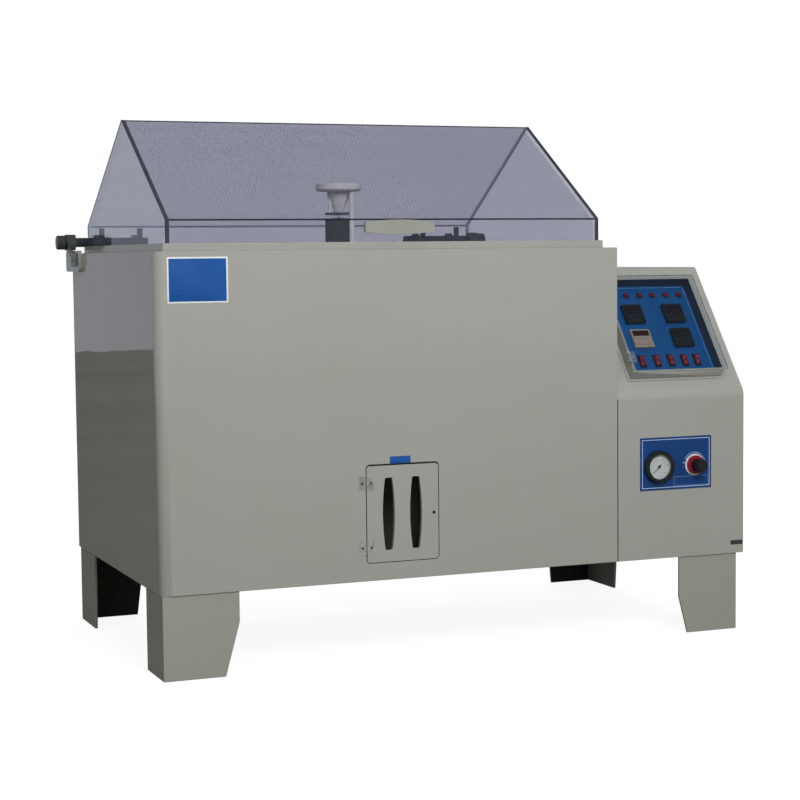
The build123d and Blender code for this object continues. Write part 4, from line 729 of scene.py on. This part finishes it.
# Painted shade: a dark ring on the opening's inner walls, in the gap round the door
def door_gap_painted_shade(bm):
    outer = between(OPENING_X, OPENING_Z, OPENING_R, 0.02)
    inner = between(OPENING_X, OPENING_Z, OPENING_R - 0.3, 0.35)
    ring(bm, FRONT, outer, inner, *GAP_DEPTH)


# Painted shade: a dark strip along the joint beside the console
def console_gap_painted_shade(bm):
    slab(bm, FRONT, between(JOINT_X, JOINT_Z, 0.4), -0.5, 0.15)


def lip_bead(bm):
    xs = (BEAD_INSET, TANK_W - BEAD_INSET)
    ys = (BEAD_INSET, TANK_D - BEAD_INSET)
    around = ((xs[0], ys[0]), (xs[1], ys[0]), (xs[1], ys[1]), (xs[0], ys[1]))
    ends = [corner(x, y, BEAD_Z) for x, y in around]
    for start, end in zip(ends, ends[1:] + ends[:1]):
        rod(bm, start, end, BEAD_R, 8)


shown("door_gap_painted_shade", "chamber", recess_painted_shade, door_gap_painted_shade)
shown("console_gap_painted_shade", "chamber", recess_painted_shade, console_gap_painted_shade)
shown("lip_weld_bead", "chamber", sealant, lip_bead)

# Painted shade: a near black sheet on the inner side of each leg's front or rear plate, where shade falls.
# The plates by (front, left): their width at the top, their width at the foot, and how far down the taper
# starts
LEG_PLATES = {
    (True, True): (156, 126, 60),
    (True, False): (143, 122, 87),
    (False, True): (143, 129, 60),
    (False, False): (119, 110, 60),
}
LEG_T = 6
PAINT_T = 0.4
PAINT_INSET = 1


def leg_inner_shade(bm):
    for (front, left), (top, foot, taper) in LEG_PLATES.items():
        low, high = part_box("front_legs" if front else "rear_legs")
        rear_y = high.y if left else high.y - (TANK_D - CONSOLE_D) * MM
        plate_y = low.y + LEG_T * MM if front else rear_y - LEG_T * MM
        plate = Vector((low.x if left else high.x, plate_y, high.z))
        inner = face(plate, X_AXIS if left else -X_AXIS, Z_AXIS)
        side = LEG_T + PAINT_INSET
        drop = (high.z - low.z) / MM - PAINT_INSET
        wide = top - PAINT_INSET
        outline = [(side, -side), (wide, -side), (wide, -taper), (foot - PAINT_INSET, -drop), (side, -drop)]
        heights = (-PAINT_T, 0) if front == left else (0, PAINT_T)
        slab(bm, inner, outline, *heights)


shown("leg_inner_painted_shade", "chamber", leg_shade_paint, leg_inner_shade)


# Screws of the clear hinges, through the leaves' middles
def door_screw_spots(across):
    """Screws of one leaf of both door hinges, that far from the pin."""
    return [(DOOR_PIN_X + across, z, LEAF_FACE) for z in DOOR_HINGE_ZS]


COVER_PIN_X = FRAME_X[0] - 3.7
COVER_PIN_H = 35
COVER_SCREW_UPS = [up + off for up in COVER_HINGE_UPS for off in (-8, 8)]
COVER_LEAF_TOP = COVER_H[1] + LEAF_FACE
FRAME_LEFT = face(SLOPE @ Vector((FRAME_X[0], 0, 0)), -SLOPE_UP, SLOPE_OUT)
FRAME_LOWER = face(SLOPE @ Vector((0, FRAME_UP[0], 0)), X_AXIS, SLOPE_OUT)
cover_spots = [(COVER_PIN_X + LEAF_MIDDLE, up, COVER_LEAF_TOP) for up in COVER_SCREW_UPS]
frame_spots = [(-up, COVER_PIN_H - LEAF_MIDDLE, LEAF_FACE) for up in COVER_SCREW_UPS]
catch_spot = (sum(FRAME_X) / 2, FRAME_H / 2, 0)
screws("door_hinge_screws_fixed", "chamber", FRONT, door_screw_spots(-LEAF_MIDDLE), 2.9)
screws("door_hinge_screws_moving", "access_door", FRONT, door_screw_spots(LEAF_MIDDLE), 2.9)
screws("cover_hinge_screws_moving", "panel_cover", SLOPE, cover_spots, 2.6)
screws("cover_hinge_screws_fixed", "chamber", FRAME_LEFT, frame_spots, 2.4)
# The screw of the cover's catch, in the frame's lower board
screws("cover_catch_screw", "chamber", FRAME_LOWER, [catch_spot], 2.2)

# Canopy hinge: two bolts through each bracket's foot, and a screw in each rod clip's flange
BRACKET_FACE = 12
BRACKET_BOLT_YS = (654, 680)
BRACKET_BOLT_Z = 655
CLIP_XS = (62, 150, TANK_W - 150, TANK_W - 62)
CLIP_SCREW_Z = 716
CLIP_FACE = TANK_D - CANOPY_INSET + 4
clip_plane = face(corner(0, CLIP_FACE, 0), -X_AXIS, Z_AXIS)
left_bolts = [(-y, BRACKET_BOLT_Z, BRACKET_FACE) for y in BRACKET_BOLT_YS]
right_bolts = [(y, BRACKET_BOLT_Z, BRACKET_FACE) for y in BRACKET_BOLT_YS]
screws("bracket_bolts_left", "chamber", LEFT, left_bolts, 4.2, 1.8)
screws("bracket_bolts_right", "chamber", RIGHT, right_bolts, 4.2, 1.8)
screws("clip_screws", "canopy", clip_plane, [(-x, CLIP_SCREW_Z, 0) for x in CLIP_XS], 3.0)

# The handle's posts are held by screws from inside the canopy
HANDLE_POST_XS = (463, 559)
HANDLE_POST_Z = 714
canopy_inside = face(corner(0, CANOPY_INSET + SHEET_T, 0), -X_AXIS, Z_AXIS)
handle_spots = [(-x, HANDLE_POST_Z, 0) for x in HANDLE_POST_XS]
screws("handle_screws", "canopy", canopy_inside, handle_spots, 3.4, 1.4)

# Control panel: corner screws, painted shade on the well walls, the printed line, lamp rims, display windows,
# marks
WELL_XS = (FRAME_X[0] + FRAME_T, FRAME_X[1] - FRAME_T)
WELL_UPS = (FRAME_UP[0] + FRAME_T, FRAME_UP[1] - FRAME_T)
SCREW_INSET = 5.5
PRINT_T = 0.12
RIM_R = (6.0, 7.6)
WINDOW_W = 39.6
WINDOW_H = 19.6
WINDOW_UP = 8
KEY_PITCH = 9.6
KEY_SIZE = (7.2, 5.2)
KEY_UP = -13.5
KEY_T = 0.35
# Marks on the last three keys of a controller: down, up, down
MARK_SENSES = (-1, 1, -1)
MARK_HALF = 1.3
TIMER_WINDOW_H = 13.6
TIMER_WINDOW_UP = 13
DIGIT_PITCH = 7
DIGIT_SIZE = (5.4, 8.6)


def panel_screw_spots():
    """The four corners of the control panel."""
    xs = (WELL_XS[0] + SCREW_INSET, WELL_XS[1] - SCREW_INSET)
    ups = (WELL_UPS[0] + SCREW_INSET, WELL_UPS[1] - SCREW_INSET)
    return [(x, up, PANEL_H) for x in xs for up in ups]


def key_spots(x, up):
    """The middles of a controller's four film-covered keys."""
    return [(x + KEY_PITCH * (i - 1.5), up + KEY_UP) for i in range(4)]


# Painted shade: a thin navy ring over the well's inner walls
def well_wall_painted_shade(bm):
    outer = between(WELL_XS, WELL_UPS, 0.6, 0.02)
    inner = between(WELL_XS, WELL_UPS, 0.6, 0.42)
    ring(bm, SLOPE, outer, inner, PANEL_H, FRAME_H - 0.2)


def panel_line(bm):
    outer = between(WELL_XS, WELL_UPS, 2.0, 4.0)
    inner = between(WELL_XS, WELL_UPS, 1.2, 5.4)
    ring(bm, SLOPE, outer, inner, PANEL_H - 0.1, PANEL_H + PRINT_T)


def lamp_rims(bm):
    for spot in LAMPS:
        ring(bm, SLOPE, circle(spot, RIM_R[1]), circle(spot, RIM_R[0]), PANEL_H, PANEL_H + 1.0)


def controller_windows(bm):
    for x, up in CONTROLLERS:
        outline = rounded((x, up + WINDOW_UP), WINDOW_W, WINDOW_H, 1.0)
        slab(bm, SLOPE, outline, CONTROLLER_H - 0.8, CONTROLLER_H - 0.35, 0.1)


def controller_keys(bm):
    for place in CONTROLLERS:
        for spot in key_spots(*place):
            outline = rounded(spot, *KEY_SIZE, 1.0, 3)
            slab(bm, SLOPE, outline, CONTROLLER_H, CONTROLLER_H + KEY_T, 0.15)


def controller_marks(bm):
    low = CONTROLLER_H + KEY_T - 0.05
    for place in CONTROLLERS:
        for (x, up), sense in zip(key_spots(*place)[1:], MARK_SENSES):
            foot = up - sense * 0.8
            tip = [(x - MARK_HALF, foot), (x + MARK_HALF, foot), (x, up + sense * 1.2)]
            slab(bm, SLOPE, tip[::sense], low, low + 0.1)


def timer_window(bm):
    outline = rounded((TIMER[0], TIMER[1] + TIMER_WINDOW_UP), WINDOW_W, TIMER_WINDOW_H, 0.8)
    slab(bm, SLOPE, outline, TIMER_H - 1.2, TIMER_H - 0.5, 0.1)


def timer_digits(bm):
    for i in range(5):
        spot = (TIMER[0] + DIGIT_PITCH * (i - 2), TIMER[1] + TIMER_WINDOW_UP)
        slab(bm, SLOPE, rounded(spot, *DIGIT_SIZE, 0.5, 2), TIMER_H - 0.5, TIMER_H - 0.42)


screws("panel_screws", "chamber", SLOPE, panel_screw_spots(), 2.0, 0.8)
shown("well_wall_painted_shade", "chamber", well_painted_shade, well_wall_painted_shade)
shown("panel_printed_line", "chamber", print_line, panel_line)
shown("lamp_rims", "chamber", black_plastic, lamp_rims)
shown("controller_windows", "chamber", display_glass, controller_windows)
shown("controller_keys", "chamber", black_gloss, controller_keys)
shown("controller_key_marks", "chamber", key_mark, controller_marks)
shown("timer_window", "chamber", display_glass, timer_window)
shown("timer_digits", "chamber", display_red, timer_digits)

# Rocker marks: a ring on one half and a bar on the other, which tilt with the rocker
ROCKER_PIVOT_H = 3.2
ROCKER_TILT = math.radians(8.5)
ROCKER_TOP = 4.4
VALLEY_DROP = 1.8
ROCKER_DISH = math.atan2(VALLEY_DROP, 11.8)
MARK_UP = 6.2
MARK_HEIGHTS = (-0.05, 0.08)


def rocker_half(spot, sense):
    """The drawing plane on one half of a rocker, with its origin on the middle of the valley."""
    pivot = Matrix.Translation(Vector((spot[0], spot[1], ROCKER_PIVOT_H)))
    tilt = Matrix.Rotation(ROCKER_TILT, 4, "X")
    valley = Matrix.Translation(Vector((0, 0, ROCKER_TOP - VALLEY_DROP)))
    lean = Matrix.Rotation(sense * ROCKER_DISH, 4, "X")
    return SLOPE @ pivot @ tilt @ valley @ lean


for number, spot in enumerate(ROCKERS, 1):
    bm = bmesh.new()
    ring_middle = (0, -MARK_UP)
    ring(bm, rocker_half(spot, -1), circle(ring_middle, 1.7, 24), circle(ring_middle, 1.1, 24), *MARK_HEIGHTS)
    slab(bm, rocker_half(spot, 1), rounded((0, MARK_UP), 0.7, 3.4, 0.2, 2), *MARK_HEIGHTS)
    piece(f"rocker_{number}_marks", bm, f"rocker_{number}", mark_pale)


# The polished edge of the panel's cover, with a painted highlight along it
def cover_edge(bm):
    outer = between(COVER_X, COVER_UP, COVER_R, -0.15)
    inner = between(COVER_X, COVER_UP, COVER_R, 0.25)
    ring(bm, SLOPE, outer, inner, COVER_H[0], COVER_H[1] + PRINT_T)


shown("cover_edge_painted_highlight", "panel_cover", edge_painted_highlight, cover_edge)

# Prints on the gauge plate: its border, an arc round the regulator with two dots, and an empty field
PLATE_PRINT = (PLATE_T - 0.05, PLATE_T + PRINT_T)
DOT_PRINT = (PLATE_T, PLATE_T + 0.14)
ARC_R = 26.5
FIELD_X = (PLATE_X[0] + 82, PLATE_X[0] + 167)
FIELD_Z = (PLATE_Z[0] + 7, PLATE_Z[0] + 27)


def plate_line(bm):
    outer = between(PLATE_X, PLATE_Z, 1.6, 4.2)
    inner = between(PLATE_X, PLATE_Z, 0.8, 5.6)
    ring(bm, CONSOLE_FRONT, outer, inner, *PLATE_PRINT)
    arc_band(bm, CONSOLE_FRONT, REGULATOR, ARC_R, 1.0, 15, 155, *PLATE_PRINT)
    large_dot = circle((REGULATOR[0] - ARC_R, REGULATOR[1] + 5), 1.8, 20)
    small_dot = circle((REGULATOR[0] - ARC_R - 1, REGULATOR[1] - 4), 0.8, 12)
    for dot in (large_dot, small_dot):
        slab(bm, CONSOLE_FRONT, dot, *DOT_PRINT)


def plate_field(bm):
    outer = between(FIELD_X, FIELD_Z, 0.6)
    inner = between(FIELD_X, FIELD_Z, 0.4, 0.7)
    ring(bm, CONSOLE_FRONT, outer, inner, PLATE_T - 0.05, PLATE_T + 0.1)


shown("plate_printed_lines", "chamber", print_pale, plate_line)
shown("plate_bare_field", "chamber", print_line, plate_field)

# Gauge dial: ticks, plain numbers and the needle's boss
DIAL_START = 225
DIAL_SWEEP = 270
DIAL_NUMBERS = ("0", "2", "4", "6", "8", "10")
DIAL_PRINT = (DIAL_FACE_H - 0.02, DIAL_FACE_H + 0.06)
NUMBER_PRINT = (DIAL_FACE_H - 0.02, DIAL_FACE_H + 0.08)
TICKS = 50
INNER_TICKS = 14
TICK_R = 23.6
TICK_LINE_R = 23.9
NUMBER_R = 18.2
NUMBER_SIZE = 3.6
INNER_LINE_R = 14.6
INNER_TICK_R = 15.4
BOSS_LOW = DIAL_FACE_H + 1.5
BOSS = ((0, 0), (2.9, 0), (2.9, 0.5), (2.2, 0.9), (0, 1.0))


def dial_angle(share):
    """The direction at that share of the scale."""
    return math.radians(DIAL_START - DIAL_SWEEP * share)


def tick_size(i):
    """Length and half width of a tick: large at the numbers, and longer half way between them."""
    if i % 10 == 0:
        return 3.4, 0.28
    return (2.4 if i % 5 == 0 else 1.5), 0.16


def whole_scale(bm, radius, width):
    """A thin line along the whole scale."""
    arc_band(bm, CONSOLE_FRONT, GAUGE, radius, width, DIAL_START - DIAL_SWEEP, DIAL_START, *DIAL_PRINT)


def dial_ticks(bm):
    for i in range(TICKS + 1):
        angle = dial_angle(i / TICKS)
        length, half = tick_size(i)
        out = Vector((math.cos(angle), math.sin(angle)))
        side = Vector((-out.y, out.x)) * half
        near = Vector(GAUGE) + out * (TICK_R - length)
        far = Vector(GAUGE) + out * TICK_R
        slab(bm, CONSOLE_FRONT, [near + side, far + side, far - side, near - side], *DIAL_PRINT)
    whole_scale(bm, TICK_LINE_R, 0.4)


def dial_inner_scale(bm):
    whole_scale(bm, INNER_LINE_R, 0.35)
    for i in range(INNER_TICKS + 1):
        arc = math.degrees(dial_angle(i / INNER_TICKS))
        arc_band(bm, CONSOLE_FRONT, GAUGE, INNER_TICK_R, 1.4, arc - 0.5, arc + 0.5, *DIAL_PRINT, 2)


def numeral(bm, place, text, middle, size, low, high):
    """A plain raised number, centred on a spot."""
    curve = bpy.data.curves.new("numeral", "FONT")
    curve.body = text
    curve.size = size
    curve.align_x = "CENTER"
    curve.align_y = "CENTER"
    curve.extrude = (high - low) / 2
    curve.resolution_u = 3
    holder = bpy.data.objects.new("numeral", curve)
    bpy.context.scene.collection.objects.link(holder)
    bpy.context.view_layer.update()
    mesh = bpy.data.meshes.new_from_object(holder.evaluated_get(bpy.context.evaluated_depsgraph_get()))
    mesh.transform(place @ Matrix.Translation(Vector((*middle, (low + high) / 2))))
    bm.from_mesh(mesh)
    bpy.data.objects.remove(holder)
    bpy.data.meshes.remove(mesh)
    bpy.data.curves.remove(curve)


def dial_numbers(bm):
    for i, text in enumerate(DIAL_NUMBERS):
        angle = dial_angle(i / (len(DIAL_NUMBERS) - 1))
        spot = (GAUGE[0] + NUMBER_R * math.cos(angle), GAUGE[1] + NUMBER_R * math.sin(angle))
        numeral(bm, CONSOLE_FRONT, text, spot, NUMBER_SIZE, *NUMBER_PRINT)


def needle_boss(bm):
    turned(bm, CONSOLE_FRONT, GAUGE, [(radius, BOSS_LOW + up) for radius, up in BOSS], 24)


shown("dial_ticks", "chamber", print_dark, dial_ticks)
shown("dial_inner_scale", "chamber", print_red, dial_inner_scale)
shown("dial_numbers", "chamber", print_dark, dial_numbers)
shown("needle_boss", "gauge_needle", black_gloss, needle_boss)

# Light, ground and camera. Places are in the frame's metres
GROUND_REACH = 13
GROUND_GLOW = 1.08
GLOW_SHARE = 0.85
GROUND_STAINS = 0.9
MIRRORED_GROUND = ((0.3, "#34362F"), (0.7, "#505248"))
MIRRORED_SKY = ((0.08, "#A4A9B4"), (0.45, "#5C6068"))
WHITE = (1, 1, 1, 1)
SOFT_LIGHT = 0.60
KEY_PLACE = (-0.3, -3.5, 2.6)
KEY_TARGET = (0, -0.3, 0.55)
KEY_SIZE_M = 1.3
REAR_PLACE = (1.4, 4.2, 3.0)
REAR_TARGET = (0, 0.3, 0.6)
REAR_SIZE_M = 1.6

# The camera of the photograph, fitted to its edges: place in millimetres, turns in radians
CAMERA_PLACE = (-923.1, -3540, 652.7)
CAMERA_TURNS = (-0.3829, -0.0752, -0.0104)
FOCAL_PIXELS = 1893.14
PICTURE_PIXELS = 800
SENSOR_MM = 36
FARTHEST_SEEN = 200


def seen_rays(tree):
    """One for what the camera sees, straight or through clear sheets, else nought; and the path node."""
    path = add(tree, "LightPath")
    links = {0: path.outputs["Is Camera Ray"], 1: path.outputs["Is Transmission Ray"]}
    return add(tree, "Math", {"operation": "ADD", "use_clamp": True}, links).outputs[0], path


def toned(tree, value, stops):
    """Colours that run from one stop to the other with a value."""
    ramp = add(tree, "ValToRGB", None, {"Fac": value})
    for element, (position, tone) in zip(ramp.color_ramp.elements, stops):
        element.position = position
        element.color = colour(tone)
    return ramp.outputs["Color"]


def ground_material():
    """White with the object's faint shadow. Mirrors see the dark stained floor of a works instead."""
    made, tree, out = material("white_studio_ground")
    seen, path = seen_rays(tree)
    lit = add(tree, "BsdfDiffuse", None, {"Color": colour("#F2F2F0")})
    glow = add(tree, "Emission", None, {"Color": WHITE, "Strength": GROUND_GLOW})
    white = add(tree, "MixShader", None, {0: GLOW_SHARE, 1: lit.outputs[0], 2: glow.outputs[0]})
    place = add(tree, "TexCoord").outputs["Object"]
    bands = add(tree, "Mapping", None, {"Vector": place, "Scale": (0.15, 1, 1)})
    pattern = {"Vector": bands.outputs[0], "Scale": GROUND_STAINS, "Detail": 3.0}
    stains = add(tree, "TexNoise", None, pattern).outputs["Fac"]
    tones = toned(tree, stains, MIRRORED_GROUND)
    works_floor = add(tree, "Emission", None, {"Color": tones, "Strength": 1.0})
    dull = add(tree, "BsdfDiffuse", None, {"Color": colour("#8E8E8A")})
    mirrored = path.outputs["Is Glossy Ray"]
    unseen = add(tree, "MixShader", None, {0: mirrored, 1: dull.outputs[0], 2: works_floor.outputs[0]})
    both = add(tree, "MixShader", None, {0: seen, 1: unseen.outputs[0], 2: white.outputs[0]})
    tree.links.new(both.outputs[0], out.inputs["Surface"])
    return made


def ground():
    """A square floor, large enough that its far edge doesn't show against the white sky."""
    mesh = bpy.data.meshes.new("studio_ground")
    around = ((-1, -1), (1, -1), (1, 1), (-1, 1))
    corners = [(x * GROUND_REACH, y * GROUND_REACH, cad_low.z) for x, y in around]
    mesh.from_pydata(corners, [], [(0, 1, 2, 3)])
    mesh.materials.append(ground_material())
    made = bpy.data.objects.new("studio_ground", mesh)
    bpy.context.scene.collection.objects.link(made)


def world():
    """White to the camera, a blue-grey sky in mirrors, and a plain soft light on everything else."""
    made = bpy.data.worlds.new("studio")
    bpy.context.scene.world = made
    made.use_nodes = True
    tree = made.node_tree
    tree.nodes.clear()
    seen, path = seen_rays(tree)
    soft = add(tree, "Background", None, {"Color": WHITE, "Strength": SOFT_LIGHT})
    height = add(tree, "SeparateXYZ", None, {0: add(tree, "TexCoord").outputs["Generated"]})
    tones = toned(tree, height.outputs["Z"], MIRRORED_SKY)
    sky = add(tree, "Background", None, {"Color": tones, "Strength": 1.0})
    white = add(tree, "Background", None, {"Color": WHITE, "Strength": 1.0})
    mirrored = path.outputs["Is Glossy Ray"]
    unseen = add(tree, "MixShader", None, {0: mirrored, 1: soft.outputs[0], 2: sky.outputs[0]})
    both = add(tree, "MixShader", None, {0: seen, 1: unseen.outputs[0], 2: white.outputs[0]})
    out = add(tree, "OutputWorld")
    tree.links.new(both.outputs[0], out.inputs["Surface"])


def softbox(name, place, target, size, level, mirrored=True):
    """A square soft light that gives a face turned to it, at the target, that level of light."""
    data = bpy.data.lights.new(name, "AREA")
    data.shape = "SQUARE"
    data.size = size
    away = Vector(place) - Vector(target)
    data.energy = level * math.pi**2 * away.length_squared
    made = bpy.data.objects.new(name, data)
    made.location = place
    made.rotation_mode = "QUATERNION"
    made.rotation_quaternion = away.to_track_quat("Z", "Y")
    made.visible_glossy = mirrored
    bpy.context.scene.collection.objects.link(made)


def camera():
    """The photograph's camera, from its fitted place, turns and focal length."""
    yaw, pitch, roll = CAMERA_TURNS
    level = math.cos(pitch)
    ahead = Vector((math.sin(-yaw) * level, math.cos(yaw) * level, math.sin(pitch)))
    right = Vector((math.cos(yaw), math.sin(yaw), 0))
    up = right.cross(ahead)
    turned_right = math.cos(roll) * right + math.sin(roll) * up
    turned_up = -math.sin(roll) * right + math.cos(roll) * up
    data = bpy.data.cameras.new("camera")
    data.sensor_width = SENSOR_MM
    data.lens = FOCAL_PIXELS * SENSOR_MM / PICTURE_PIXELS
    data.clip_end = FARTHEST_SEEN
    made = bpy.data.objects.new("camera", data)
    turn = Matrix((turned_right, turned_up, -ahead)).transposed().to_4x4()
    made.matrix_world = Matrix.Translation(corner(*CAMERA_PLACE)) @ turn
    bpy.context.scene.collection.objects.link(made)
    bpy.context.scene.camera = made


ground()
world()
# The key light is hidden from mirrors, and a faint one in its place gives them their glint
softbox("key_softbox", KEY_PLACE, KEY_TARGET, KEY_SIZE_M, 0.76, mirrored=False)
softbox("glint_softbox", KEY_PLACE, KEY_TARGET, KEY_SIZE_M, 0.10)
softbox("rear_softbox", REAR_PLACE, REAR_TARGET, REAR_SIZE_M, 0.45, mirrored=False)
camera()
bpy.context.scene.view_settings.view_transform = "Standard"
